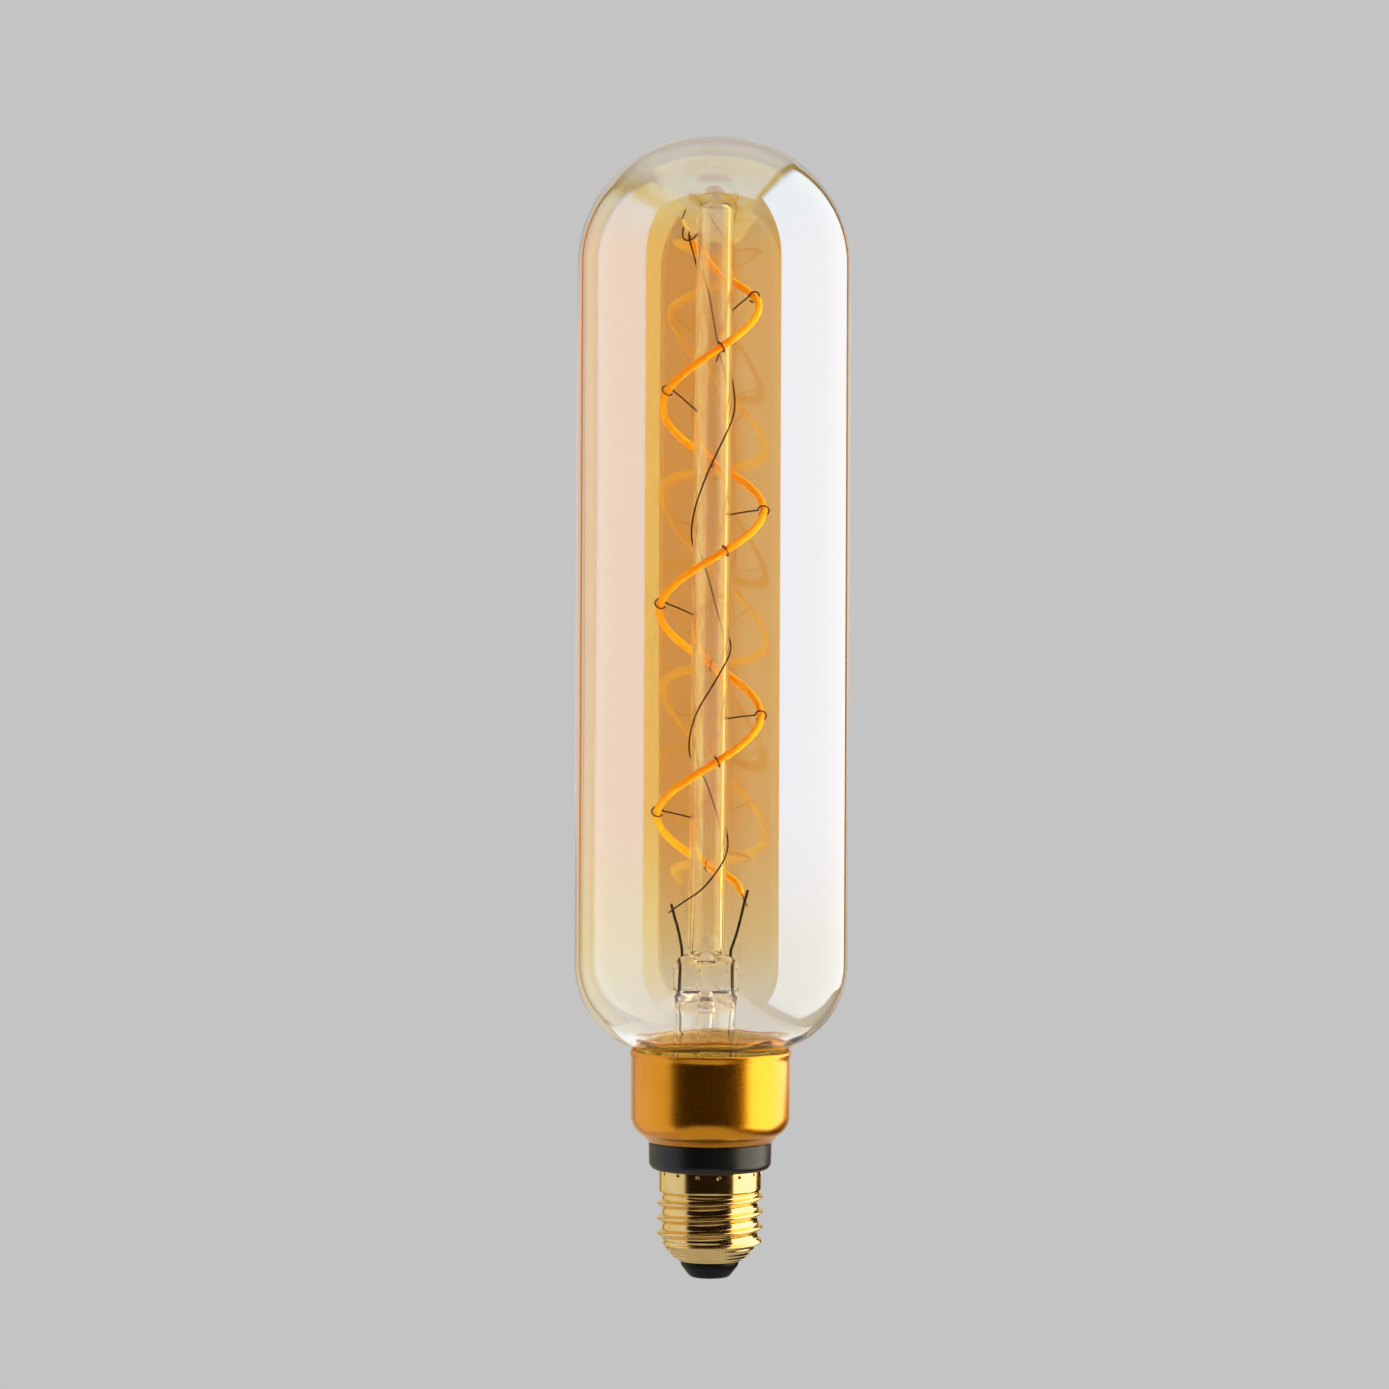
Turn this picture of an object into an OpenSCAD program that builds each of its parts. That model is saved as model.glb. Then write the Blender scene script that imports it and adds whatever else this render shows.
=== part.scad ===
// Tubular filament lamp with a screw cap, a gold collar and a wireless driver.
// Millimetres. The origin is the centre of the contact's flat face, +Z runs up to the
// dome, -Y is the front, and the lamp's axis is the Z axis.

/* [Glass] */
// Outer radius of the glass tube
glass_r = 33.35; // [32.5:0.05:34]
// Height of the dome's top above the contact
overall_h = 278; // [272:0.5:290]
// Thickness of the envelope's wall
glass_wall = 1.5; // [0.8:0.1:2]
// Radius of the flatter crown of the dome
crown_r = 48; // [44:1:60]
// Radius of the dome between crown and tube
dome_r = 31; // [28:0.5:32]
// Radius of the rounded shoulder above the collar
shoulder_r = 22; // [21:0.5:22]

/* [Stem] */
// Outer radius of the central glass column
column_r = 4.5; // [4:0.1:4.6]
// Wall of the central column
column_wall = 1.2; // [0.9:0.05:1.4]
// Height of the column's closed top
column_top = 262; // [258:0.5:264]
// How far the stem's foot sits from the lamp's axis
stem_shift = -1.4; // [-1.5:0.1:0]
// Lean of the stem towards +X, in degrees
stem_lean = 0.48; // [0:0.02:0.5]
// Outer radius of the flare tube under the press
flare_r = 7.55; // [7.4:0.05:7.7]

/* [Filament] */
// Radius of the filament's helix
helix_r = 12.5; // [12:0.1:13]
// Height gained in one full turn
helix_pitch = 50; // [48:0.5:52]
// Height of the first pass on the +X side
helix_top = 237.2; // [236:0.2:238]
// Radius of the phosphor coat
coat_r = 0.92; // [0.8:0.02:1]
// Radius of the support wires
support_r = 0.18; // [0.12:0.01:0.2]
// Radius of the return wire
return_r = 0.2; // [0.15:0.01:0.22]
// Radius of the lead wires
lead_r = 0.35; // [0.25:0.01:0.4]

/* [Collar and housing] */
// Outer radius of the gold collar
collar_r = 19.4; // [19.2:0.05:19.6]
// Thickness of the collar's sheet
collar_sheet = 0.5; // [0.4:0.05:0.5]
// Height of the collar's rim
collar_top = 55.4; // [55:0.1:55.4]
// Outer radius of the black housing where it shows
housing_r = 15; // [14.6:0.1:15.2]

/* [Screw cap] */
// Radius over the thread's crests
crest_r = 13.05; // [13:0.01:13.1]
// Radius at the thread's roots
root_r = 11.8; // [11.7:0.05:12.1]
// Pitch of the E26 / E27 thread
thread_pitch = 3.629; // [3.6:0.001:3.65]
// Radius of the shell's plain neck
shell_neck_r = 12.6; // [12.5:0.05:12.7]
// Radius of the centre contact
contact_r = 3.4; // [3:0.1:3.6]

/* [Hidden] */
$fn = 96;

// Colours
amber = [0.80, 0.58, 0.30, 0.35];
clear_glass = [0.88, 0.92, 0.92, 0.45];
phosphor = [0.94, 0.55, 0.08];
dark_wire = [0.18, 0.13, 0.10];
nickel = [0.55, 0.53, 0.50];
gold = [0.82, 0.56, 0.12];
brass = [0.88, 0.76, 0.48];
black_plastic = [0.09, 0.09, 0.10];
ceramic_white = [0.93, 0.90, 0.80];
board_green = [0.10, 0.35, 0.20];
copper = [0.72, 0.42, 0.25];

// Heights up the lamp
shell_bottom = 4.2;
thread_bottom = 7;
thread_top = 21.9;
housing_bottom = 26.4;
collar_bottom = 33.1;
collar_bend = 39.6;
neck_bottom = 43.6;
press_bottom = 66.8;
press_top = 79;
shoulder_top = 76.6;
foot_z = 70;
eps = 0.02;

// Thicknesses and clearances
shell_sheet = 0.3;
flare_wall = 0.9;
exhaust_r = 2.1;
exhaust_bore_r = 1.3;
board_t = 1;
board_w = 18;
board_bottom = 10;
board_top = 39;
housing_bore_r = 10.3;

// The press's two seals, from its top face to its bottom face
seal_left = [[-5.95, 0, 78.4], [-6.25, 0, 66.85]];
seal_right = [[6.0, 0, 78.4], [6.25, 0, 66.85]];

// Lead wires above the press, in the stem's own frame
lead_left_route = [
    [-5.95, 0, 78.45], [-6.0, 0, 79.8], [-6.4, 0, 82], [-7.1, 0, 85.1],
    [-7.8, 0, 87.4], [-8.4, 0, 89.6], [-8.7, 0, 90.7]
];
lead_right_route = [
    [6.0, 0, 78.45], [6.05, 0, 79.8], [6.7, 0, 81.8], [7.5, 0, 84.4],
    [8.4, 0, 88], [9.2, 0, 91.6], [9.6, 0, 93], [9.9, 0, 94.3]
];

// Copper leads below the press, down to the driver board's terminals
outer_left_route = [
    [-6.25, 0, 66.8], [-6.2, 0, 62], [-6.1, 0, 58.3], [-5.4, 0.3, 56.6],
    [-6.1, 0.2, 54.6], [-5.9, 0, 50], [-4.6, 0, 45.8], [-3.97, 0, 43], [-3.95, 0, 40.2]
];
outer_right_route = [
    [6.25, 0, 66.8], [6.1, 0, 62], [5.8, 0, 58.3], [5.7, 0.2, 54.6],
    [6, 0, 50], [6.8, 0, 45.8], [7.22, 0, 43], [7.25, 0, 40.2]
];

// Return wire round the column: angle, radius and height of each chosen point
return_route = [
    [160, 6.9, 255], [166, 6.6, 253.4], [166, 5.7, 250.4], [157, 5.0, 247], [112, 4.95, 240.2],
    [67, 4.95, 225.4], [25, 5.05, 218.8], [-4, 5.25, 212.5], [-54, 5.0, 204.9],
    [-95, 4.9, 197.6], [-135, 4.9, 189.5], [-180, 4.95, 181.5], [-247, 4.9, 172.9],
    [-289, 4.9, 163.4], [-330, 4.9, 156.6], [-400, 4.9, 150], [-449, 4.9, 143.4],
    [-490, 4.9, 137.6], [-545, 4.95, 128.8], [-615, 4.9, 121.2], [-665, 4.9, 112.6],
    [-720, 4.9, 106], [-780, 5.0, 99.5], [-824, 5.3, 94.9], [-873, 6.9, 91.3],
    [-896.2, 8.4, 89.6], [-896.5, 9.3, 88.9]
];

// Support wires: where along the helix each eyelet sits, and how far it rises to it
support_turn = [24, -80, -154, -270, -360, -434, -526, -630, -720, -800, -890, -985];
support_rise = [4.6, 3, 5.2, 2, 1.3, 2, 2.9, 2, 1, 2, 1.6, 1.5];
eyelet_r = 1.35;

// The helix runs from its top end down to its bottom end, in degrees from +X
helix_start = 155;
helix_last_turn = -990;
helix_end = -1062;
helix_step = 15;

// ---- functions ------------------------------------------------------------

// Points of an arc round (cx, cz), angles from the radial direction
function arc(cx, cz, r, a0, a1, n) =
    [for (i = [0 : n]) let (a = a0 + (a1 - a0) * i / n) [cx + r * cos(a), cz + r * sin(a)]];

function unit(v) = v / norm(v);
function smooth(u) = let (c = min(1, max(0, u))) c * c * (3 - 2 * c);
function cylindrical(p) = [p[1] * cos(p[0]), p[1] * sin(p[0]), p[2]];

// Catmull-Rom curve through hand-chosen points
function spline(p, n) = [
    for (i = [0 : len(p) - 2], k = [0 : n - 1])
        let (
            u = k / n,
            a = p[max(i - 1, 0)], b = p[i], c = p[i + 1], d = p[min(i + 2, len(p) - 1)]
        )
        0.5 * (2 * b + (c - a) * u + (2 * a - 5 * b + 4 * c - d) * u * u
            + (3 * b - a - 3 * c + d) * u * u * u),
    p[len(p) - 1]
];

// Filament centreline at t degrees round the column
function helix_radius(t) =
    helix_r - 1.7 * smooth((t + 200) / 200) - 4 * smooth(t / helix_start)
    - 3.6 * smooth((helix_last_turn - t) / (helix_last_turn - helix_end));
function helix_height(t) =
    t > 0 ? helix_top + 0.1045 * t
    : t > helix_last_turn ? helix_top + helix_pitch * t / 360
    : helix_top + helix_pitch * helix_last_turn / 360 + 0.0875 * (t - helix_last_turn);
function helix_point(t) = cylindrical([t, helix_radius(t), helix_height(t)]);
function helix_tangent(t) = unit(helix_point(t - 2) - helix_point(t + 2));
helix_steps = ceil((helix_start - helix_end) / helix_step);
helix_route = [
    for (i = [0 : helix_steps])
        helix_point(helix_start + (helix_end - helix_start) * i / helix_steps)
];

// A support wire: out from the column, then once round the filament
function support_route(i) =
    let (
        t = support_turn[i],
        centre = helix_point(t),
        along = helix_tangent(t),
        out = unit(cross(along, cross([cos(t), sin(t), 0], along))),
        up = cross(out, along),
        root = cylindrical([t, column_r - 0.6, helix_height(t) - support_rise[i]]),
        start = centre - eyelet_r * out
    )
    concat(
        [for (k = [0 : 3]) root + (start - root) * k / 4],
        [
            for (k = [0 : 12])
                let (a = 180 + 27 * k)
                centre + eyelet_r * (cos(a) * out + sin(a) * up) + 0.035 * k * along
        ]
    );

// The top anchor hooks under the filament's upper end
top_anchor_route = spline([
    [-3.65, 1.35, 254.6], [-4.6, 1.75, 254.4], [-5.3, 1.6, 253.6], [-6.4, 1.0, 253.0],
    [-7.5, 1.2, 253.1], [-8.0, 1.7, 253.9], [-8.1, 2.0, 255.2], [-7.9, 1.9, 256.2]
], 3);

function tangent(p, i) = unit(p[min(i + 1, len(p) - 1)] - p[max(i - 1, 0)]);
function across(n, t) = unit(n - (n * t) * t);

// A normal carried along the route without twisting
function normals(p, first) = [
    for (
        i = 0, n = across(first, tangent(p, 0));
        i < len(p);
        i = i + 1, n = i < len(p) ? across(n, tangent(p, i)) : n
    ) n
];
// Normals that keep facing away from the column
function outward(p) = [
    for (i = [0 : len(p) - 1]) across([p[i][0], p[i][1], 0], tangent(p, i))
];

// Rings of an oval section, rx along the normal and ry across it
function rings(p, n, rx, ry, sides) = [
    for (i = [0 : len(p) - 1], k = [0 : sides - 1])
        let (t = tangent(p, i), a = 360 * k / sides)
        p[i] + rx * cos(a) * n[i] + ry * sin(a) * cross(t, n[i])
];

// Side faces between neighbouring rings, starting at point number base
function ring_sides(count, sides, base, flip) = [
    for (i = [0 : count - 2], k = [0 : sides - 1])
        let (
            j = (k + 1) % sides,
            a = base + i * sides + k, b = base + i * sides + j,
            c = base + (i + 1) * sides + k, d = base + (i + 1) * sides + j
        )
        each (flip ? [[a, b, c], [b, d, c]] : [[a, c, b], [b, c, d]])
];

// ---- shared shapes --------------------------------------------------------

// Closed tube of an oval section along a route
module tube(p, n, rx, ry, sides) {
    last = (len(p) - 1) * sides;
    polyhedron(
        rings(p, n, rx, ry, sides),
        concat(
            [[for (k = [0 : sides - 1]) k]],
            ring_sides(len(p), sides, 0, false),
            [[for (k = [sides - 1 : -1 : 0]) last + k]]
        ),
        convexity = 20
    );
}

module wire(p, r, sides = 8) {
    tube(p, normals(p, [0.3, 1, 0.2]), r, r, sides);
}

// A rod between two points
module rod(a, b, r) {
    d = b - a;
    translate(a)
        rotate([0, acos(d[2] / norm(d)), atan2(d[1], d[0])])
            cylinder(h = norm(d), r = r, $fn = 32);
}

// Places a piece in the stem's frame, which leans a little from the lamp's axis
module on_stem() {
    translate([0, 0, foot_z])
        rotate([0, stem_lean, 0])
            translate([stem_shift, 0, -foot_z])
                children();
}

module solid_of(outline) {
    rotate_extrude() polygon(outline);
}

// A box centred in X and Y that stands on z
module block(size, at) {
    translate(at - [size[0] / 2, size[1] / 2, 0]) cube(size);
}

// ---- glass ----------------------------------------------------------------

// Outline of the envelope moved inwards by inset, from the neck up to the apex
crown_z = overall_h - crown_r;
crown_a = asin((glass_r - dome_r) / (crown_r - dome_r));
dome_z = crown_z + (crown_r - dome_r) * cos(crown_a);
neck_blend_r = 2.5;
shoulder_sweep = 68;
blend_x = glass_r - shoulder_r + (shoulder_r + neck_blend_r) * cos(shoulder_sweep);
blend_z = shoulder_top - (shoulder_r + neck_blend_r) * sin(shoulder_sweep);
function envelope_side(inset) = concat(
    arc(blend_x, blend_z, neck_blend_r + inset, 180, 180 - shoulder_sweep, 8),
    arc(glass_r - shoulder_r, shoulder_top, shoulder_r - inset, -shoulder_sweep, 0, 16),
    arc(glass_r - dome_r, dome_z, dome_r - inset, 0, 90 - crown_a, 24),
    arc(0, crown_z, crown_r - inset, 90 - crown_a, 90, 5)
);
// Radius of the hole left by the lip that the flare is sealed to
lip_r = 11.8;
lip_t = 1.1;

module glass_envelope() {
    color(amber)
        difference() {
            solid_of(concat([[0, neck_bottom], [blend_x - neck_blend_r, neck_bottom]],
                envelope_side(0)));
            solid_of(concat([[0, neck_bottom + lip_t],
                [blend_x - neck_blend_r - glass_wall, neck_bottom + lip_t]],
                envelope_side(glass_wall)));
            translate([0, 0, neck_bottom - 1])
                cylinder(h = 4, r = lip_r);
        }
}

// Flare tube: straight under the press, then a bell down to the envelope's lip
bell_r = 8;
bell_top = 54;
bell_edge_z = neck_bottom + lip_t + 0.2;
function flare_side(inset) = concat(
    [[flare_r - inset, press_bottom], [flare_r - inset, bell_top]],
    arc(flare_r + bell_r, bell_top, bell_r + inset, 186, 248, 8)
);
bell_lip_r = 13.7;
module stem_flare() {
    color(clear_glass)
        on_stem()
            difference() {
                solid_of(concat([[0, press_bottom]], flare_side(0),
                    [[bell_lip_r, bell_edge_z + 0.9], [bell_lip_r, bell_edge_z],
                        [0, bell_edge_z]]));
                solid_of(concat([[0, press_bottom + 1]],
                    [[flare_r - flare_wall, press_bottom + 1]],
                    flare_side(flare_wall),
                    [[bell_lip_r - 1, bell_edge_z - 1], [0, bell_edge_z - 1]]));
            }
}

// Outline of the pinched glass seen from the front, and its wedge from the side
press_half = 8.1;
press_flat = 3.2;
press_shoulder = 4.2;
module press_front() {
    square_h = press_top - press_bottom;
    intersection() {
        translate([-press_half, press_bottom]) square([2 * press_half, square_h]);
        union() {
            translate([-press_half, press_bottom])
                square([2 * press_half, square_h - press_shoulder]);
            translate([-press_half + press_shoulder, press_bottom])
                square([2 * (press_half - press_shoulder), square_h]);
            for (s = [-1, 1])
                translate([s * (press_half - press_shoulder), press_top - press_shoulder])
                    circle(r = press_shoulder);
        }
    }
}
module press_side() {
    polygon([
        [-flare_r, press_bottom], [flare_r, press_bottom], [flare_r, press_bottom + 1.4],
        [press_flat + 0.6, 71.5], [press_flat, 74], [press_flat, press_top],
        [-press_flat, press_top], [-press_flat, 74], [-press_flat - 0.6, 71.5],
        [-flare_r, press_bottom + 1.4]
    ]);
}
vent_z = 74.9;
module stem_press() {
    color(clear_glass)
        on_stem()
            difference() {
                intersection() {
                    translate([0, 10, 0])
                        rotate([90, 0, 0])
                            linear_extrude(height = 20) press_front();
                    translate([-10, 0, 0])
                        rotate([90, 0, 90])
                            linear_extrude(height = 20) press_side();
                    translate([0, 0, press_bottom])
                        cylinder(h = press_top - press_bottom, r = press_half + 0.05);
                }
                for (seal = [seal_left, seal_right])
                    rod(seal[0] + 3 * (seal[0] - seal[1]) / 10,
                        seal[1] - (seal[0] - seal[1]) / 10, lead_r + 2 * eps);
                translate([0, 0, press_bottom - 1])
                    cylinder(h = vent_z - press_bottom + 1, r = exhaust_bore_r, $fn = 32);
                rod([0.3, 0, vent_z - 0.7], [-3, -press_flat - 1, vent_z + 0.6], 0.45);
            }
}

module stem_column() {
    cap_r = 1.7;
    bore_cap_r = 0.9;
    bore_r = column_r - column_wall;
    color(clear_glass)
        on_stem()
            difference() {
                solid_of(concat([[0, press_top], [column_r, press_top]],
                    arc(column_r - cap_r, column_top - cap_r, cap_r, 0, 90, 8),
                    [[0, column_top]]));
                solid_of(concat([[0, press_top + 0.6], [bore_r, press_top + 0.6]],
                    arc(bore_r - bore_cap_r, column_top - cap_r, bore_cap_r, 0, 90, 6),
                    [[0, column_top - cap_r + bore_cap_r]]));
                for (i = [0 : len(support_turn) - 1])
                    support_socket(i);
                rod(top_anchor_route[0] + [0.4, -0.16, 0.1],
                    top_anchor_route[3] + [-0.4, 0.16, -0.1], support_r + 0.1);
            }
}

// The hole in the column's wall that a support wire is fused into
module support_socket(i) {
    route = support_route(i);
    step = unit(route[1] - route[0]);
    rod(route[0] - eps * step, route[0] + 1.4 * step, support_r + eps);
}

module exhaust_tube() {
    tip_z = 46;
    color(clear_glass)
        on_stem()
            difference() {
                solid_of(concat([[0, tip_z]],
                    arc(0, tip_z + exhaust_r, exhaust_r, -80, 0, 6),
                    [[exhaust_r, press_bottom], [0, press_bottom]]));
                solid_of([[0, tip_z + 1.6], [exhaust_bore_r, tip_z + 3],
                    [exhaust_bore_r, press_bottom + 1], [0, press_bottom + 1]]);
            }
}

// ---- leads ----------------------------------------------------------------

module lead_wire_left() {
    color(dark_wire) on_stem() wire(spline(lead_left_route, 2), lead_r);
}

module lead_wire_right() {
    color(dark_wire) on_stem() wire(spline(lead_right_route, 2), lead_r);
}

module dumet_seal_left() {
    color(copper) on_stem() rod(seal_left[1], seal_left[0], lead_r);
}

module dumet_seal_right() {
    color(copper) on_stem() rod(seal_right[1], seal_right[0], lead_r);
}

module outer_lead_left() {
    color(copper) on_stem() wire(spline(outer_left_route, 2), 0.2, 6);
}

module outer_lead_right() {
    color(copper) on_stem() wire(spline(outer_right_route, 2), 0.2, 6);
}

// ---- filament -------------------------------------------------------------

core_w = 0.56;
core_t = 0.16;

// Phosphor silicone with a flat channel for the core, one skin inside the other
module filament_coat() {
    sides = 8;
    p = helix_route;
    n = outward(p);
    count = len(p);
    inner = count * sides;
    last = (count - 1) * sides;
    color(phosphor)
        on_stem()
            polyhedron(
                concat(rings(p, n, coat_r, coat_r, sides), rings(p, n, core_t, core_w, sides)),
                concat(
                    ring_sides(count, sides, 0, false),
                    ring_sides(count, sides, inner, true),
                    [for (k = [0 : sides - 1]) let (j = (k + 1) % sides)
                        each [[k, j, inner + k], [j, inner + j, inner + k]]],
                    [for (k = [0 : sides - 1]) let (j = (k + 1) % sides)
                        each [[last + j, last + k, inner + last + k],
                            [inner + last + j, last + j, inner + last + k]]]
                ),
                convexity = 20
            );
}

// Flexible strip that carries the chips
module filament_core() {
    color(copper)
        on_stem()
            tube(helix_route, outward(helix_route), core_t - eps, core_w - eps, 8);
}

helix_first = helix_point(helix_start);
helix_last = helix_point(helix_end);
ferrule_low = helix_first + [-0.25, 0.15, 1.1];
ferrule_high = helix_first + [-1.95, 0.1, 5];

module filament_tail_top() {
    color(dark_wire)
        on_stem()
            wire([helix_first + [-0.02, 0.1, 0.2], ferrule_low - 0.06 * (ferrule_high - ferrule_low),
                ferrule_low, ferrule_high, ferrule_high + [0, 0, 0.5],
                ferrule_high + [0.6, 0, 2.3]], 0.13, 6);
}

module filament_tail_bottom() {
    color(dark_wire)
        on_stem()
            wire([helix_last + 0.1 * helix_tangent(helix_end), helix_last + [0.3, -1, -0.5],
                [9.1, 0.5, 92.1], [9.5, 0.52, 91.3], [9.9, 0.5, 90.6]], 0.15, 6);
}

module top_ferrule() {
    color(ceramic_white)
        on_stem()
            difference() {
                rod(ferrule_low, ferrule_high, 0.4);
                rod(ferrule_low - 0.1 * (ferrule_high - ferrule_low),
                    ferrule_high + 0.1 * (ferrule_high - ferrule_low), 0.13 + eps);
            }
}

module return_wire() {
    color(dark_wire)
        on_stem()
            wire([for (q = spline(return_route, 4)) cylindrical(q)], return_r, 6);
}

module top_anchor_wire() {
    color(dark_wire) on_stem() wire(top_anchor_route, support_r, 6);
}

module support_wire(i) {
    color(dark_wire) on_stem() wire(support_route(i - 1), support_r, 6);
}

// ---- collar, housing and cap ----------------------------------------------

bend_r = 5.6;
bend_sweep = 62;
bead_out = 0.5;
bead_h = 1.9;
function collar_side(inset) = concat(
    [[housing_r - inset * 0.6, collar_bottom]],
    arc(collar_r - bend_r, collar_bend, bend_r - inset, -bend_sweep, 0, 8),
    [[collar_r - inset, collar_top - bead_h]]
);

// Spun metal cup with a rolled rim, open at the bottom for the housing
module collar_cup() {
    bead_mid = collar_top - bead_h / 2;
    color(gold)
        difference() {
            solid_of(concat([[0, collar_bottom]], collar_side(0), [
                [collar_r + bead_out * 0.8, bead_mid - 0.5],
                [collar_r + bead_out, bead_mid],
                [collar_r + bead_out * 0.9, collar_top - 0.4],
                [collar_r + bead_out * 0.3, collar_top],
                [0, collar_top]
            ]));
            solid_of(concat([[0, collar_bottom + 0.8]],
                [[housing_r - 0.4, collar_bottom + 0.8]],
                arc(collar_r - bend_r, collar_bend, bend_r - collar_sheet, -bend_sweep, 0, 8),
                [[collar_r - collar_sheet, collar_top + 1], [0, collar_top + 1]]));
            translate([0, 0, collar_bottom - 1])
                cylinder(h = 4, r = 13.4);
        }
}

// Ring of golden cement between the neck and the collar, nearly up to the rim
module neck_cement() {
    cement_bottom = 45;
    cement_top = 54.2;
    color([0.85, 0.68, 0.3])
        translate([0, 0, cement_bottom])
            difference() {
                cylinder(h = cement_top - cement_bottom, r = collar_r - collar_sheet - eps);
                translate([0, 0, -1]) cylinder(h = 12, r = blend_x - neck_blend_r + eps);
            }
}

// Black insulating housing: the ring that shows, a spigot in the collar and a sleeve
// down into the screw shell, with two slots that hold the driver board
module driver_housing() {
    sleeve_r = root_r - shell_sheet - 0.1;
    corner = 1.9;
    draft = 0.1;
    color(black_plastic)
        difference() {
            union() {
                solid_of(concat([[0, housing_bottom], [housing_r - draft - corner, housing_bottom]],
                    arc(housing_r - draft - corner, housing_bottom + corner, corner, -90, 0, 6),
                    [[housing_r, collar_bottom - eps], [0, collar_bottom - eps]]));
                translate([0, 0, 11]) cylinder(h = 27, r = sleeve_r);
                translate([0, 0, collar_bottom - 1]) cylinder(h = 6, r = 13.3);
            }
            translate([0, 0, 8]) cylinder(h = 32, r = housing_bore_r);
            translate([0, 0, collar_bottom - 3]) cylinder(h = 10, r = 12.2);
        }
}

// Thread: narrow round crests, wide roots, right-handed
crest_phase = 182;
function thread_fade(z) = smooth((z - thread_bottom) / 2) * smooth((thread_top - z) / 1.6);
function crest(a, z) = pow(0.5 + 0.5 * cos(360 * z / thread_pitch - a + crest_phase), 2.2);
// Radius at the roots, drawn in towards the shell's rounded end
function thread_root(z) =
    root_r - 1.5 * (1 - smooth((z - 5.5) / 4.5))
    + (shell_neck_r - root_r) * smooth((z - thread_top + 1.6) / 1.6);
function shell_outer(a, z) =
    z >= thread_top ? shell_neck_r
    : thread_root(z) + (crest_r - root_r) * thread_fade(z) * crest(a, z);
around = 40;
thread_rows = 37;
shell_heights = concat(
    [for (i = [0 : thread_rows]) thread_bottom + (thread_top - thread_bottom) * i / thread_rows],
    [housing_bottom]
);
// Rounded end below the thread: radius and height, from the hole up
shell_end = [[7.2, shell_bottom], [7.9, 4.5], [8.7, 5], [9.4, 5.6], [9.95, 6.3]];
function shell_skin() = concat(
    [for (q = shell_end, k = [0 : around - 1])
        let (a = 360 * k / around) [q[0] * cos(a), q[0] * sin(a), q[1]]],
    [for (z = shell_heights, k = [0 : around - 1])
        let (a = 360 * k / around, r = shell_outer(a, z)) [r * cos(a), r * sin(a), z]]
);
shell_inner = [
    [root_r - shell_sheet, housing_bottom], [root_r - shell_sheet, 10.6],
    [11.35, 9.5], [11.05, 8.6], [10.5, 7.5], [10.1, 7], [9.65, 6.4], [9.05, 5.7], [8.4, 5.15],
    [7.7, 4.75], [7.2, 4.6]
];
function shell_lining() =
    [for (q = shell_inner, k = [0 : around - 1])
        let (a = 360 * k / around) [q[0] * cos(a), q[0] * sin(a), q[1]]];

// One closed skin: up the outside, over the top and down the inside
module screw_shell() {
    points = concat(shell_skin(), shell_lining());
    count = len(points) / around;
    color(brass)
        polyhedron(
            points,
            concat(
                ring_sides(count, around, 0, false),
                [for (k = [0 : around - 1]) let (j = (k + 1) % around, e = (count - 1) * around)
                    each [[e + k, k, e + j], [e + j, k, j]]]
            ),
            convexity = 20
        );
}

// Black glass-filled plug that closes the shell and carries the contact
module base_insulator() {
    color(black_plastic)
        difference() {
            solid_of([[0, 0.15], [4.2, 0.15], [4.8, 0.4], [5.3, 0.9], [6, 1.8], [6.8, 2.8],
                [7.1, 3.6], [7.15, shell_bottom], [7.15, 4.75], [7.6, 4.85], [8.3, 5.3],
                [8.3, 6.6], [0, 6.6]]);
            translate([0, 0, -1]) cylinder(h = 2.2, r = contact_r + eps);
            translate([0, 0, -1]) cylinder(h = 10, r = 1.2);
        }
}

// Flat disc with a rivet shank through the insulator
module centre_contact() {
    color(nickel)
        union() {
            cylinder(h = 1.1, r = contact_r);
            translate([0, 0, 1]) cylinder(h = 6.4, r = 1.15);
        }
}

// ---- driver and wireless module -------------------------------------------

front_y = -board_t / 2;
back_y = board_t / 2;
terminal_x = 5.6;
board_neck_z = 31;

// Upright board: narrow in the sleeve, wider above it
module driver_board() {
    color(board_green)
        difference() {
            union() {
                block([board_w, board_t, board_neck_z - board_bottom], [0, 0, board_bottom]);
                block([22, board_t, board_top - board_neck_z], [0, 0, board_neck_z]);
            }
            for (s = [-1, 1])
                translate([s * terminal_x, 5, board_top - 1.2])
                    rotate([90, 0, 0]) cylinder(h = 10, r = 0.4);
        }
}

// Electrolytic can with a crimp groove, and two leads bent back to the board
module bulk_capacitor() {
    can_r = 4;
    can_y = front_y - can_r - 0.1;
    can_z = 12.4;
    color([0.15, 0.16, 0.2])
        translate([0.5, can_y, 0]) {
            difference() {
                translate([0, 0, can_z]) cylinder(h = 12, r = can_r);
                translate([0, 0, can_z + 1.5])
                    rotate_extrude() translate([can_r + 0.2, 0]) circle(r = 0.55, $fn = 24);
            }
            for (s = [-1, 1]) {
                translate([s * 1.75, 0, can_z - 1.2]) cylinder(h = 1.5, r = 0.25, $fn = 24);
                rod([s * 1.75, 0, can_z - 1.2], [s * 1.75, front_y - can_y, can_z - 1.2], 0.25);
            }
        }
}

module bridge_rectifier() {
    body = [4.6, 1.6, 4];
    at = [-5.6, front_y - 1, 26];
    color([0.12, 0.12, 0.13])
        union() {
            block(body, at);
            for (s = [-1, 1], dz = [0.6, 2.8])
                block([0.9, 0.2, 0.6], at + [s * 2.6, 0.9, dz]);
            for (s = [-1, 1], dz = [0.6, 2.8])
                block([0.2, 1, 0.6], at + [s * 2.3, 0.5, dz]);
        }
}

coil_z = 20.4;
coil_r = 4;
coil_core_r = 2.6;

module coil_frame() {
    translate([0, back_y, coil_z]) rotate([-90, 0, 0]) children();
}

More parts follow.
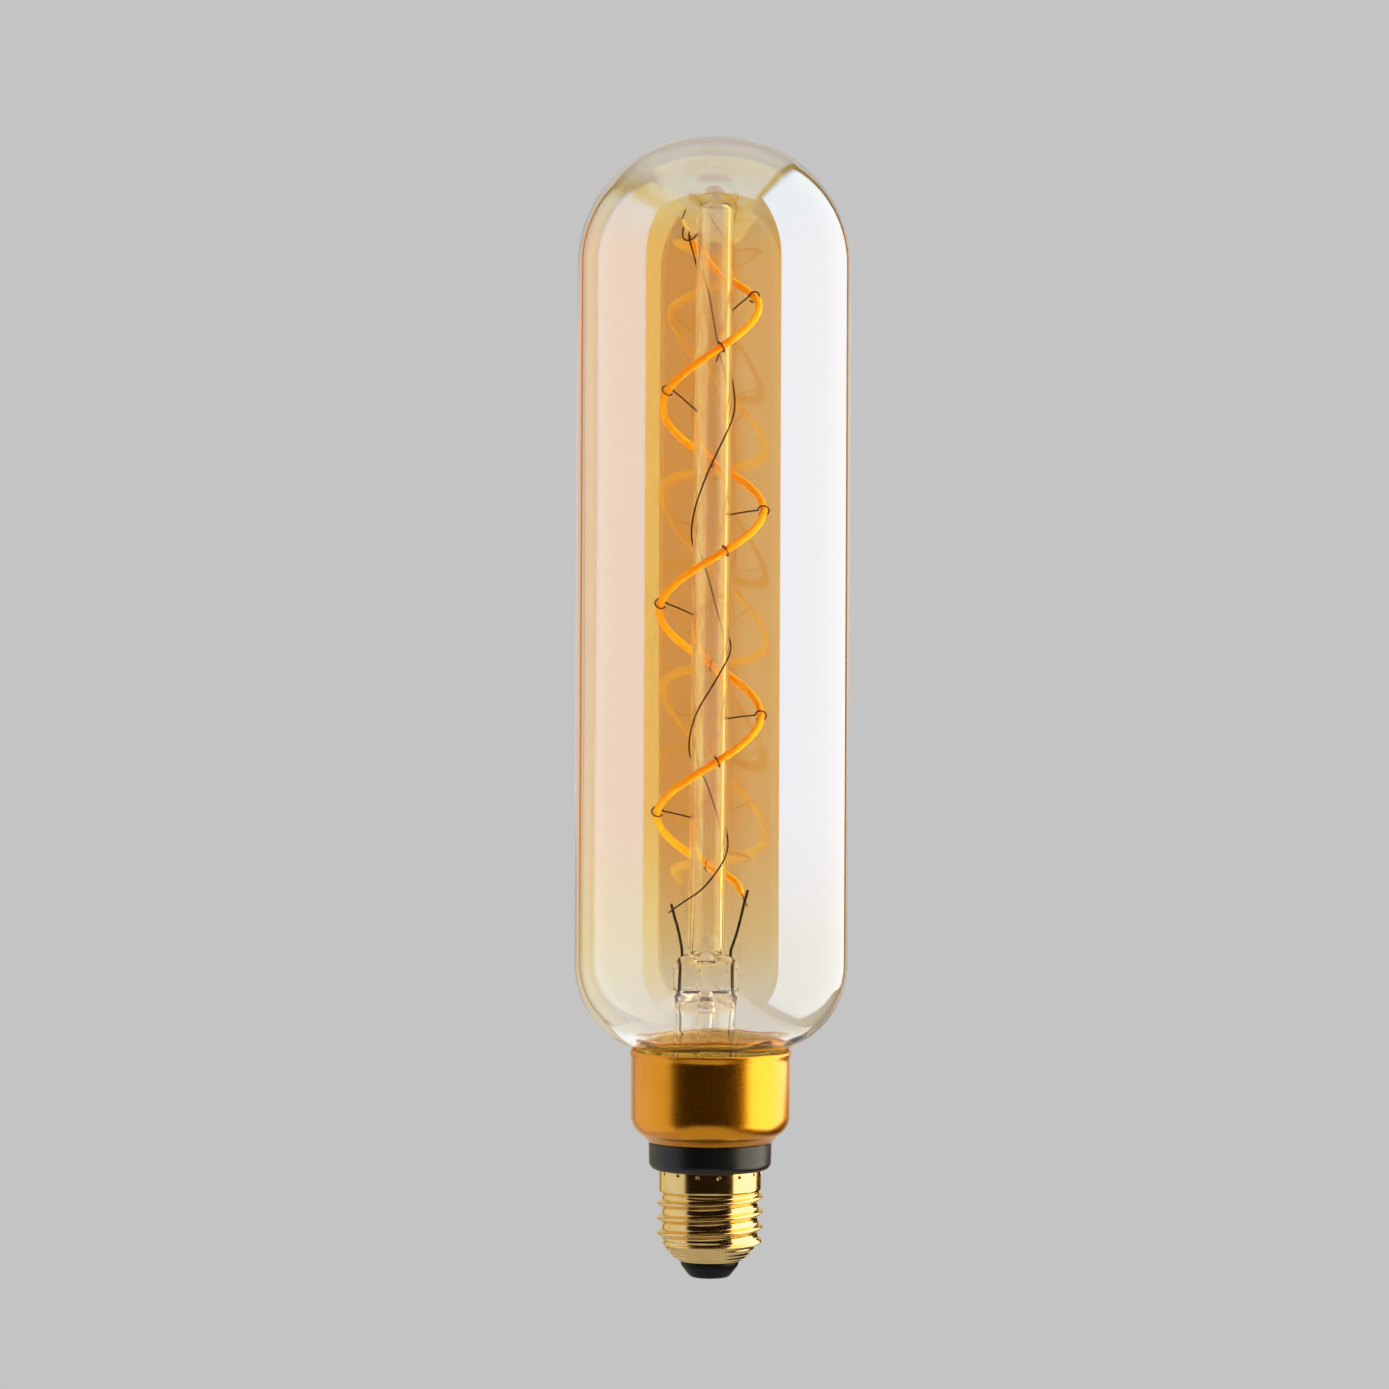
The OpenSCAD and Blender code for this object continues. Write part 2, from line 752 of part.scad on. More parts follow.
// Drum core of the power inductor
module power_inductor() {
    color([0.2, 0.2, 0.21])
        coil_frame()
            solid_of([[0, 0], [coil_r, 0], [coil_r, 1.1], [coil_core_r, 1.1],
                [coil_core_r, 5.3], [coil_r, 5.3], [coil_r, 6.4], [0, 6.4]]);
}

// Enamelled winding that fills the drum
module inductor_winding() {
    color(copper)
        coil_frame()
            solid_of([[coil_core_r + eps, 1.1 + eps], [coil_r - 0.4, 1.1 + eps],
                [coil_r - 0.25, 2], [coil_r - 0.25, 4.4],
                [coil_r - 0.4, 5.3 - eps], [coil_core_r + eps, 5.3 - eps]]);
}

// Disc varistor across the mains
module surge_varistor() {
    color([0.2, 0.35, 0.6])
        translate([-5, back_y + 0.35, 13.4])
            rotate([-90, 0, 0])
                solid_of([[0, 0], [2.6, 0], [3, 0.6], [3, 2], [2.6, 2.6], [0, 2.6]]);
}

module driver_chip() {
    at = [-3.5, back_y + 0.95, 27];
    pin_gap = 1.27;
    color([0.1, 0.1, 0.1])
        union() {
            block([4, 1.5, 4.9], at);
            for (s = [-1, 1], i = [0 : 3]) {
                block([1, 0.2, 0.4], at + [s * 2.4, -0.85, 0.4 + pin_gap * i]);
                block([0.2, 0.9, 0.4], at + [s * 2.05, -0.5, 0.4 + pin_gap * i]);
            }
        }
}

fuse_at = [-6.5, -4.2, 12.6];

// Fusible resistor in the live line, its top lead bent over to the board
module fuse_resistor() {
    top = 7.6;
    color([0.35, 0.5, 0.42])
        union() {
            translate(fuse_at)
                solid_of([[0, -0.8], [0.3, -0.8], [0.3, 0], [1.1, 0.2], [1.3, 0.6], [1.3, 1.5],
                    [1.1, 1.9], [1.1, 4.3], [1.3, 4.7], [1.3, 5.6], [1.1, 6], [0.3, 6.2],
                    [0.3, top], [0, top]]);
            rod(fuse_at + [0, -0.3, top - 0.3], [fuse_at[0], front_y, fuse_at[2] + top - 0.3],
                0.28);
        }
}

module chip_resistors() {
    color([0.08, 0.08, 0.08])
        for (at = [[4, 27], [4, 29.5], [4, 32], [7.4, 27], [7.4, 29.5], [7.4, 14], [7.4, 17]])
            block([1.8, 0.5, 1], [at[0], back_y + 0.25, at[1]]);
}

module chip_capacitors() {
    color([0.6, 0.5, 0.38])
        for (at = [[2.2, 26.4], [4.6, 26.4], [7, 26.4], [-7, 34], [7, 12]])
            block([1.6, 0.9, 1.2], [at[0], front_y - 0.45, at[1]]);
}

live_route = [
    [0, 0, 7.42], [0, 0, 8.1], [-0.5, -0.25, 8.8], [-1.9, -1, 9.4], [-4.4, -2.8, 9.8],
    [-6.4, -4.1, 10.6], [-6.5, -4.2, 11.75]
];
neutral_route = [
    [11.4, 0, 10.3], [10.9, 0.05, 10.3], [9.8, 1.2, 10.1], [8.6, 1.9, 10.9], [8, 1.4, 11.9],
    [8, 0.9, 12.2], [8, 0.52, 12.2]
];

module live_wire() {
    color([0.7, 0.15, 0.1]) wire(spline(live_route, 3), 0.3);
}

module neutral_wire() {
    color([0.15, 0.2, 0.45]) wire(spline(neutral_route, 3), 0.28);
}

// Pressed terminals on the board's top edge that grip the lamp's two leads
module output_terminals() {
    color(nickel)
        for (s = [-1, 1])
            difference() {
                block([1.6, 1.8, 2.2], [s * terminal_x, 0, board_top + 0.05]);
                translate([s * terminal_x, 0, board_top]) cylinder(h = 3, r = 0.32);
            }
}

module_x = 1.5;
module_gap = 2.6;
module_y = front_y - module_gap - 0.6;
module_z = 28.6;

module header_pins() {
    color([0.85, 0.7, 0.3])
        for (i = [-2 : 2])
            translate([module_x + 1.6 * i, front_y - module_gap, module_z + 1])
                rotate([-90, 0, 0])
                    cylinder(h = module_gap, r = 0.3, $fn = 24);
}

module module_board() {
    color([0.08, 0.12, 0.2])
        block([12, 0.6, 14], [module_x, module_y + 0.3, module_z]);
}

// Tin can over the radio chip, open towards the module's board
module module_shield() {
    color([0.75, 0.75, 0.76])
        difference() {
            block([8.4, 1.7, 5.4], [module_x, module_y - 0.85, module_z + 0.6]);
            block([7.8, 1.5, 4.8], [module_x, module_y - 0.75 + eps, module_z + 0.9]);
        }
}

module radio_chip() {
    color([0.1, 0.1, 0.1])
        block([4.4, 0.9, 4], [module_x - 1, module_y - 0.45, module_z + 1.3]);
}

module module_crystal() {
    color([0.8, 0.8, 0.78])
        block([2, 0.7, 1.6], [module_x + 2.6, module_y - 0.35, module_z + 2]);
}

// Meandering trace
module module_antenna() {
    run = 7.6;
    line_w = 0.45;
    gap = 1.5;
    first_z = module_z + 7.6;
    color(copper)
        union() {
            for (i = [0 : 3])
                block([run, 0.08, line_w], [module_x, module_y - 0.04, first_z + gap * i]);
            for (i = [0 : 2])
                block([line_w, 0.08, gap + line_w],
                    [module_x + (i % 2 == 0 ? 1 : -1) * (run - line_w) / 2, module_y - 0.04,
                        first_z + gap * i]);
        }
}

// ---- drawing --------------------------------------------------------------

glass_envelope();
stem_flare();
stem_press();
stem_column();
exhaust_tube();
lead_wire_left();
lead_wire_right();
dumet_seal_left();
dumet_seal_right();
outer_lead_left();
outer_lead_right();
filament_coat();
filament_core();
filament_tail_top();
filament_tail_bottom();
top_ferrule();
return_wire();
top_anchor_wire();
support_wire(1);  // support_wire_1
support_wire(2);  // support_wire_2
support_wire(3);  // support_wire_3
support_wire(4);  // support_wire_4
support_wire(5);  // support_wire_5
support_wire(6);  // support_wire_6
support_wire(7);  // support_wire_7
support_wire(8);  // support_wire_8
support_wire(9);  // support_wire_9
support_wire(10);  // support_wire_10
support_wire(11);  // support_wire_11
support_wire(12);  // support_wire_12
collar_cup();
neck_cement();
driver_housing();
screw_shell();
base_insulator();
centre_contact();
driver_board();
bridge_rectifier();
bulk_capacitor();
power_inductor();
driver_chip();
fuse_resistor();
chip_resistors();
chip_capacitors();
live_wire();
neutral_wire();
output_terminals();
header_pins();
module_board();
module_shield();
module_antenna();
module_crystal();
radio_chip();
inductor_winding();
surge_varistor();
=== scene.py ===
"""Looks of the tubular filament lamp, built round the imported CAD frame.

Lengths in the functions are millimetres in the lamp's frame (origin at the contact, +Z up,
-Y the front). They become metres when a mesh is made.
"""

import math

import bpy
import numpy as np
from mathutils import Matrix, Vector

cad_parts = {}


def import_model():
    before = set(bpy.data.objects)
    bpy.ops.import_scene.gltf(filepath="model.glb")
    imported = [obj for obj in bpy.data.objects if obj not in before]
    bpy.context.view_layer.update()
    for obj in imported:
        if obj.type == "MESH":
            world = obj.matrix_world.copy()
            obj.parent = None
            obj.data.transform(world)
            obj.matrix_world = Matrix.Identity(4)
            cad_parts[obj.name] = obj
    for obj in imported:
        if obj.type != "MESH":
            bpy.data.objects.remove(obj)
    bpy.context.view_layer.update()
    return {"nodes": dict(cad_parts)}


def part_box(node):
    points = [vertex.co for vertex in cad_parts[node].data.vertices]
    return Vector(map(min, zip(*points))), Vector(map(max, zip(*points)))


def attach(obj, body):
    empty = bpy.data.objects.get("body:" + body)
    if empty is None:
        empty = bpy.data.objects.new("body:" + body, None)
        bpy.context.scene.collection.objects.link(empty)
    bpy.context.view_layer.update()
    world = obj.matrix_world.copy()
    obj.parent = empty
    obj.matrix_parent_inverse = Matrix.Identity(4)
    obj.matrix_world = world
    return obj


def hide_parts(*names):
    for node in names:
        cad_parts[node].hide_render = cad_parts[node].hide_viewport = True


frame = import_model()
nodes = frame["nodes"]

MM = 0.001
scene = bpy.context.scene


# ---- sizes shared with the CAD, in millimetres

def node_box(name):
    low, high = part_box(name)
    return np.array(low) / MM, np.array(high) / MM


GLASS_R = 33.35
OVERALL_H = node_box("glass_envelope")[1][2]
GLASS_WALL = 1.5
CROWN_R = 48
DOME_R = 31
SHOULDER_R = 22
SHOULDER_TOP = 76.6
SHOULDER_SWEEP = 68
NECK_BLEND_R = 2.5
NECK_BOTTOM = node_box("glass_envelope")[0][2]
LIP_R = 11.8
LIP_T = 1.1

STEM_FOOT = 70
STEM_SHIFT = -1.4
STEM_LEAN = 0.48
COLUMN_R = 4.5
COLUMN_WALL = 1.2
COLUMN_TOP = 262
COLUMN_CAP_R = 1.7
COLUMN_END_T = 0.78
# Drop of glass at the foot of the column's hollow: height and how far its edge hangs
MENISCUS_Z = 79.3
MENISCUS_DROP = 1.9
FLARE_R = 7.55
FLARE_WALL = 0.9
FLARE_TOP = 64
# Roof of the flare's inside: height, half depth, how it draws in, and the throat below it
ROOF_Z = 66.9
ROOF_HALF_Y = 3.6
ROOF_IN_X = 1.2
ROOF_IN_Y = 0.9
THROAT_R = 2.9
BELL_R = 8
BELL_TOP = 54
BELL_LIP_R = 13.7
BELL_EDGE = NECK_BOTTOM + LIP_T + 0.2
EXHAUST_R = 2.1
EXHAUST_BORE = 1.3
EXHAUST_TIP = 46
PRESS_BOTTOM = 66.8
PRESS_TOP = 79
PRESS_HALF = 8.1
PRESS_FLAT = 3.2
PRESS_SHOULDER = 4.2
PRESS_FILLET = 0.9

HELIX_R = 12.5
HELIX_PITCH = 50
HELIX_TOP = 237.2
HELIX_START = 155
HELIX_LAST_TURN = -990
HELIX_END = -1062
# How far the coil draws in over its top turn, at its start and at its end
HELIX_TOP_IN = 1.7
HELIX_START_IN = 4
HELIX_END_IN = 3.6
# Its climb per degree at the start and at the end
HELIX_START_CLIMB = 0.1045
HELIX_END_CLIMB = 0.0875
COAT_R = 0.92
CORE_W = 0.56
CORE_T = 0.16
CORE_GAP = 0.03
TAIL_TOP_R = 0.13
TAIL_BOTTOM_R = 0.15
SUPPORT_R = 0.19
SUPPORT_ROOT = 0.6
SUPPORT_BOW = (-0.1, 0.12)
RETURN_R = 0.21
LEAD_R = 0.35
OUTER_LEAD_R = 0.28
EYELET_R = 1.35
EYELET_STEPS = 25
EYELET_STEP = 13.5
EYELET_PITCH = 0.0175
SUPPORT_TURN = [24, -80, -154, -270, -360, -434, -526, -630, -720, -800, -890, -985]
SUPPORT_RISE = [4.6, 3, 5.2, 2, 1.3, 2, 2.9, 2, 1, 2, 1.6, 1.5]

COLLAR_R = 19.4
COLLAR_SHEET = 0.5
COLLAR_TOP = node_box("collar_cup")[1][2]
COLLAR_BOTTOM = node_box("collar_cup")[0][2]
COLLAR_BEND = 39.6
COLLAR_BEND_R = 5.6
COLLAR_SWEEP = 62
HOUSING_R = 15
HOUSING_BOTTOM = 26.4
HOUSING_BORE = 10.3
MOUTH_R = 13.4
SPIGOT_BORE = 12.2
SPIGOT_TOP = 37.05
SLEEVE_BOTTOM = 11

CREST_R = 13.05
ROOT_R = 11.8
THREAD_PITCH = 3.629
CREST_PHASE = 182
THREAD_BOTTOM = 7
THREAD_TOP = 21.9
THREAD_FADE_IN = 2
THREAD_FADE_OUT = 1.6
CREST_POWER = 2.2
# The shell's rounded end: how far it draws in, where, and its steps
NOSE_IN = 1.5
NOSE_FOOT = 5.5
NOSE_RISE = 4.5
DRAW_STEP = 0.15
DRAW_PITCH = 1.25
SHELL_NECK_R = 12.6
SHELL_BOTTOM = 4.2
SHELL_SHEET = 0.3
CONTACT_R = 3.4


# ---- curves

def arc(cx, cz, r, a0, a1, n):
    """Points of an arc round (cx, cz), angles in degrees from the radial direction."""
    a = np.radians(np.linspace(a0, a1, n + 1))
    return [(cx + r * math.cos(t), cz + r * math.sin(t)) for t in a]


def smooth(u):
    """Eases from 0 to 1 as u goes from 0 to 1."""
    c = np.clip(u, 0.0, 1.0)
    return c * c * (3 - 2 * c)


def unit(v):
    return v / np.linalg.norm(v)


def cylindrical(p):
    """The point at an angle in degrees, a radius and a height."""
    a = math.radians(p[0])
    return np.array([p[1] * math.cos(a), p[1] * math.sin(a), p[2]])


def spline(points, n):
    """Catmull-Rom curve through given points."""
    p = [np.array(q, float) for q in points]
    out = []
    for i in range(len(p) - 1):
        a, b, c, d = p[max(i - 1, 0)], p[i], p[i + 1], p[min(i + 2, len(p) - 1)]
        for k in range(n):
            u = k / n
            out.append(0.5 * (2 * b + (c - a) * u + (2 * a - 5 * b + 4 * c - d) * u * u
                              + (3 * b - a - 3 * c + d) * u ** 3))
    out.append(p[-1])
    return out


def on_stem(p):
    """Places a point of the stem's own frame, which leans a little from the lamp's axis."""
    p = np.asarray(p, float)
    a = math.radians(STEM_LEAN)
    x = p[..., 0] + STEM_SHIFT
    z = p[..., 2] - STEM_FOOT
    return np.stack([x * math.cos(a) + z * math.sin(a), p[..., 1],
                     STEM_FOOT - x * math.sin(a) + z * math.cos(a)], axis=-1)


def helix_radius(t):
    """Radius of the filament's coil at an angle in degrees, which falls along it."""
    return (HELIX_R - HELIX_TOP_IN * smooth((t + 200) / 200)
            - HELIX_START_IN * smooth(t / HELIX_START)
            - HELIX_END_IN * smooth((HELIX_LAST_TURN - t) / (HELIX_LAST_TURN - HELIX_END)))


def helix_height(t):
    if t > 0:
        return HELIX_TOP + HELIX_START_CLIMB * t
    if t > HELIX_LAST_TURN:
        return HELIX_TOP + HELIX_PITCH * t / 360
    return (HELIX_TOP + HELIX_PITCH * HELIX_LAST_TURN / 360
            + HELIX_END_CLIMB * (t - HELIX_LAST_TURN))


def helix_point(t):
    return cylindrical([t, helix_radius(t), helix_height(t)])


def helix_tangent(t):
    return unit(helix_point(t - 2) - helix_point(t + 2))


# ---- mesh making

def piece(name, skin, material, replaced=None, sharp=35, inner=None, inner_faces=()):
    """A mesh in metres that rides on the lamp. It stands for the CAD nodes in replaced, or
    for the one of its own name. inner is the material of inner_faces."""
    mesh = bpy.data.meshes.new(name)
    mesh.from_pydata((np.asarray(skin.points, float) * MM).tolist(), [], skin.faces)
    mesh.update()
    mesh.shade_smooth()
    mesh.set_sharp_from_angle(angle=math.radians(sharp))
    mesh.materials.append(MATERIALS[material])
    if inner:
        mesh.materials.append(MATERIALS[inner])
        for i in inner_faces:
            mesh.polygons[i].material_index = 1
    ob = bpy.data.objects.new(name, mesh)
    scene.collection.objects.link(ob)
    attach(ob, "root")
    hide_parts(*(replaced or [name.removesuffix("_fine")]))


class Skin:
    """Collects points and faces of one closed skin after another."""

    def __init__(self):
        self.points = []
        self.faces = []

    def rings(self, rings, start_pole=None, end_pole=None, close=False):
        """Joins equal rings of points. A pole closes an end with a fan, close joins the ends."""
        base = len(self.points)
        count = len(rings[0])
        for ring in rings:
            self.points.extend(ring)
        last = base + (len(rings) - 1) * count
        starts = list(range(base, last + 1, count)) + ([base] if close else [])
        for a, b in zip(starts, starts[1:]):
            for k in range(count):
                m = (k + 1) % count
                self.faces.append((a + k, a + m, b + m, b + k))
        if start_pole is not None:
            self.fan([base + k for k in range(count)][::-1], start_pole)
        if end_pole is not None:
            self.fan([last + k for k in range(count)], end_pole)

    def fan(self, ring, pole):
        self.points.append(pole)
        centre = len(self.points) - 1
        for k in range(len(ring)):
            self.faces.append((ring[k], ring[(k + 1) % len(ring)], centre))

    def flip(self, first=0):
        for i in range(first, len(self.faces)):
            self.faces[i] = self.faces[i][::-1]


def circle(r, z, angles):
    """A level ring. Its radius r may differ from angle to angle."""
    return np.stack([r * np.cos(angles), r * np.sin(angles), np.full(len(angles), float(z))], 1)


def turn_angles(n):
    return np.arange(n) * 2 * math.pi / n


def waves(angles, *terms):
    """Sum of sine waves round a ring, each (height, number of waves, phase)."""
    return sum(height * np.sin(count * angles + phase) for height, count, phase in terms)


def lathe(skin, outline, n, place=np.asarray):
    """Revolves (r, z) points about Z. An end with r = 0 is a pole, else the outline closes."""
    angles = turn_angles(n)
    rings = [place(circle(r, z, angles)) for r, z in outline if r > 0]
    start, end = [None if r > 0 else place([0, 0, z]) for r, z in (outline[0], outline[-1])]
    skin.rings(rings, start, end, close=start is None and end is None)


def turned_piece(name, outline, n, material, sharp):
    skin = Skin()
    lathe(skin, outline, n)
    piece(name, skin, material, sharp=sharp)


def tangents(p):
    p = np.asarray(p)
    t = np.empty_like(p)
    t[1:-1] = p[2:] - p[:-2]
    t[0] = p[1] - p[0]
    t[-1] = p[-1] - p[-2]
    return t / np.linalg.norm(t, axis=1)[:, None]


def carried_normals(t):
    """Normals of a curve with tangents t, carried along it without twist."""
    n = np.array((0.3, 1, 0.2))
    out = []
    for along in t:
        n = unit(n - np.dot(n, along) * along)
        out.append(n)
    return out


def outward_normals(p):
    """Normals of a curve that point away from the lamp's axis."""
    t = tangents(p)
    n = p * np.array([1, 1, 0])
    n = n - (n * t).sum(1)[:, None] * t
    return n / np.linalg.norm(n, axis=1)[:, None]


def tube_rings(p, t, n, rx, ry, sides):
    """Oval rings round points p with tangents t, rx wide along the normals n, ry across."""
    a = turn_angles(sides)[:, None]
    rx, ry = np.broadcast_to(rx, len(p)), np.broadcast_to(ry, len(p))
    return [p[i] + rx[i] * np.cos(a) * n[i] + ry[i] * np.sin(a) * np.cross(t[i], n[i])
            for i in range(len(p))]


# Rounded end of a wire: how far out and how thick, in radii
WIRE_CAP = [(0.5, 0.87), (0.87, 0.5)]


def wire(skin, route, r, sides, ends=(1.0, 1.0)):
    """A round wire with rounded ends. ends scales how far each cap stands out."""
    p = list(np.asarray(route, float))
    t = list(tangents(p))
    n = carried_normals(t)
    radii = [r] * len(p)
    foot = p[0] - t[0] * r * ends[0]
    tip = p[-1] + t[-1] * r * ends[1]
    first, last = p[0], p[-1]
    for out, k in WIRE_CAP:
        p = [first + (foot - first) * out] + p + [last + (tip - last) * out]
        t = [t[0]] + t + [t[-1]]
        n = [n[0]] + n + [n[-1]]
        radii = [r * k] + radii + [r * k]
    skin.rings(tube_rings(p, t, n, radii, radii, sides), foot, tip)


def wire_piece(name, route, r, material="dark_wire", slot="dark_wire", sides=12):
    skin = Skin()
    wire(skin, [on_stem(q) for q in route], r, sides)
    piece(name, skin, material)


# ---- shader trees

class Nodes:
    """A shader tree, and short ways to add nodes to it. Where a value is asked for, it is a
    number, a colour or another node's output."""

    def __init__(self, owner, clear=True):
        self.owner = owner
        owner.use_nodes = True
        self.tree = owner.node_tree
        if clear:
            self.tree.nodes.clear()
        self.sources = {}

    def put(self, value, socket):
        if isinstance(value, bpy.types.NodeSocket):
            self.tree.links.new(value, socket)
        elif socket.type == "RGBA":
            socket.default_value = (*value, 1)
        else:
            socket.default_value = value

    def add(self, kind, inputs, **settings):
        """A new node. inputs has the values of its sockets by name or number."""
        made = self.tree.nodes.new("ShaderNode" + kind)
        for key, value in settings.items():
            setattr(made, key, value)
        for key, value in inputs.items():
            self.put(value, made.inputs[key])
        return made

    def source(self, kind, output):
        """An output of an input node, of which the tree needs only one."""
        if kind not in self.sources:
            self.sources[kind] = self.add(kind, {})
        return self.sources[kind].outputs[output]

    def along(self, axis):
        """Position along X, Y or Z (by name or number) in the object's frame, in metres."""
        return self.add("SeparateXYZ", {0: self.source("TexCoord", "Object")}).outputs[axis]

    def math(self, operation, a, b):
        return self.add("Math", {0: a, 1: b}, operation=operation).outputs[0]

    def span(self, value, low, high, to_low=0.0, to_high=1.0, **settings):
        """Maps low..high of a value onto to_low..to_high."""
        return self.add("MapRange", {"Value": value, "From Min": low, "From Max": high,
                                     "To Min": to_low, "To Max": to_high},
                        **settings).outputs[0]

    def blend(self, factor, a, b):
        """Colour a where the factor is 0, b where it is 1."""
        return self.add("Mix", {"Factor": factor, 6: a, 7: b}, data_type="RGBA").outputs[2]

    def met_lamp(self, direct_depth):
        """1 for a ray that has left the lamp by reflection, 0 for one that comes straight
        from the camera or only through glass. direct_depth is a straight view's ray depth."""
        less = self.math("SUBTRACT", self.source("LightPath", "Ray Depth"),
                         self.source("LightPath", "Transmission Depth"))
        return self.math("GREATER_THAN", less, direct_depth + 0.5)


class Shade(Nodes):
    """A node material with a Principled shader."""

    def __init__(self, name, **sockets):
        super().__init__(bpy.data.materials.new(name))
        self.bsdf = self.add("BsdfPrincipled", {key.replace("_", " "): value
                                                for key, value in sockets.items()})
        self.out = self.add("OutputMaterial", {"Surface": self.bsdf.outputs[0]})

    def noise(self, scale, detail, roughness, stretch=(1, 1, 1), distortion=0):
        place = self.add("Mapping", {"Vector": self.source("TexCoord", "Object"),
                                     "Scale": stretch})
        return self.add("TexNoise", {"Vector": place.outputs[0], "Scale": scale,
                                     "Detail": detail, "Roughness": roughness,
                                     "Distortion": distortion}).outputs["Fac"]

    def ramp(self, factor, *stops):
        """Colours between stops, each (position, colour)."""
        made = self.add("ValToRGB", {0: factor})
        elements = made.color_ramp.elements
        while len(elements) < len(stops):
            elements.new(0.5)
        for element, (at, colour) in zip(elements, stops):
            element.position = at
            element.color = (*colour, 1)
        return made.outputs[0]

    def colour(self, value):
        self.put(value, self.bsdf.inputs["Base Color"])

    def roughness(self, pattern, smooth_end, rough_end, low=0.3, high=0.7):
        """Roughness that follows a pattern, from its low to its high values."""
        self.put(self.span(pattern, low, high, smooth_end, rough_end),
                 self.bsdf.inputs["Roughness"])

    def bump(self, *layers):
        """Stacks bumps, each (height output, strength, distance in mm)."""
        below = {}
        for source, strength, distance in layers:
            made = self.add("Bump", {"Height": source, "Strength": strength,
                                     "Distance": distance * MM, **below})
            below = {"Normal": made.outputs[0]}
        self.put(made.outputs[0], self.bsdf.inputs["Normal"])

    def film(self, colour):
        """Lays a fine film that mirrors this colour over the shader."""
        mirror = self.add("BsdfGlossy", {"Roughness": 0.0, "Color": colour})
        both = self.add("AddShader", {0: self.bsdf.outputs[0], 1: mirror.outputs[0]})
        self.put(both.outputs[0], self.out.inputs["Surface"])


# ---- glass materials

# The lustre's tints from the shoulder up: on the whole, and a paler one at the right side that is
# painted light of the right softbox
AMBER_FADE = [(0.0, (0.90, 0.84, 0.74)), (0.13, (0.91, 0.81, 0.66)),
              (0.27, (0.94, 0.74, 0.46)), (0.45, (0.95, 0.60, 0.22)),
              (0.76, (0.94, 0.44, 0.10)), (1.0, (0.92, 0.35, 0.055))]
AMBER_PAINTED_LIGHT = [(0.0, (0.90, 0.84, 0.74)), (0.27, (0.95, 0.76, 0.48)),
              (0.45, (0.97, 0.64, 0.26)), (1.0, (0.98, 0.44, 0.105))]
AMBER_CROWN = (0.58, 0.36, 0.10)
# Where they change, in metres: heights of the fade and the crown, and across for the painted light
# at the right side
FADE_Z = (0.058, 0.112)
CROWN_FADE_Z = (0.250, 0.266)
PAINTED_LIGHT_X = (0.004, 0.009)
LUSTRE_DRIFT = 0.012
# What the film mirrors, at the clear foot and on the amber
LUSTRE_CLEAR = (0.015, 0.02, 0.025)
LUSTRE_TINT = (0.07, 0.20, 0.42)
# Faint blue film on the column above the press, and the heights where it comes in
COLUMN_SHEEN = (0.01, 0.034, 0.11)
SHEEN_Z = (0.085, 0.115)


def glass(name, ior):
    return Shade(name, Transmission_Weight=1.0, Roughness=0.0, IOR=ior)


def lustre_glass():
    """Outer face of the envelope: amber lustre that fades to clear glass at the shoulder."""
    s = glass("lustre_glass", 1.47)
    cloud = s.math("SUBTRACT", s.noise(22, 2, 0.5), 0.5)
    drift = s.math("MULTIPLY", cloud, LUSTRE_DRIFT)
    height = s.math("ADD", s.along("Z"), drift)
    fade = s.span(height, *FADE_Z)
    # Painted light: the right side of the glass gets the paler tint
    painted_light = s.span(s.math("ADD", s.along("X"), drift), *PAINTED_LIGHT_X)
    tint = s.blend(s.math("MULTIPLY", painted_light, fade), s.ramp(fade, *AMBER_FADE),
                   s.ramp(fade, *AMBER_PAINTED_LIGHT))
    s.colour(s.blend(s.span(height, *CROWN_FADE_Z), tint, AMBER_CROWN))
    s.film(s.ramp(fade, (0.0, LUSTRE_CLEAR), (1.0, LUSTRE_TINT)))
    return s.owner


def inner_glass():
    """Inner face of the envelope: plain glass with a slight haze."""
    s = glass("inner_glass", 1.47)
    haze = s.noise(35, 3, 0.6)
    s.colour(s.ramp(haze, (0.35, (0.985, 0.98, 0.965)), (0.7, (1.0, 0.995, 0.985))))
    return s.owner


def stem_glass():
    """Clear lead-free glass of the mount, with faint drawing lines."""
    s = glass("stem_glass", 1.5)
    streak = s.noise(260, 2, 0.5, stretch=(1, 1, 0.02))
    s.colour(s.ramp(streak, (0.3, (0.96, 0.965, 0.95)), (0.7, (0.99, 0.99, 0.98))))
    s.bump((streak, 0.12, 0.02))
    s.film(s.ramp(s.span(s.along("Z"), *SHEEN_Z), (0.0, (0, 0, 0)), (1.0, COLUMN_SHEEN)))
    return s.owner


# ---- opaque materials

def phosphor():
    """Silicone coat of the filament, full of phosphor grains."""
    s = Shade("phosphor_silicone", Roughness=0.42, Subsurface_Weight=0.25, IOR=1.41,
              Subsurface_Scale=0.0006, Subsurface_Radius=(1.0, 0.45, 0.1))
    grain = s.noise(2600, 3, 0.6)
    patch = s.noise(260, 2, 0.5)
    mixed = s.math("ADD", s.math("MULTIPLY", grain, 0.45), s.math("MULTIPLY", patch, 0.55))
    s.colour(s.ramp(mixed, (0.3, (0.86, 0.36, 0.004)), (0.55, (0.90, 0.45, 0.007)),
                    (0.8, (0.94, 0.53, 0.018))))
    s.roughness(grain, 0.36, 0.5)
    s.bump((grain, 0.25, 0.03))
    return s.owner


def mottled(name, noises, stops, rough, bumps, rough_by=0, **sockets):
    """An opaque material. noises has the settings of its noises. The first one colours it
    between the stops, and number rough_by takes its roughness from the first value in rough
    to the second. Each bump is (number of the noise, strength, distance in mm)."""
    s = Shade(name, **sockets)
    patterns = [s.noise(*settings) for settings in noises]
    s.colour(s.ramp(patterns[0], *stops))
    s.roughness(patterns[rough_by], *rough)
    s.bump(*((patterns[i], strength, distance) for i, strength, distance in bumps))
    return s.owner


def shaded(colour, gain):
    return tuple(min(1, c * gain) for c in colour)


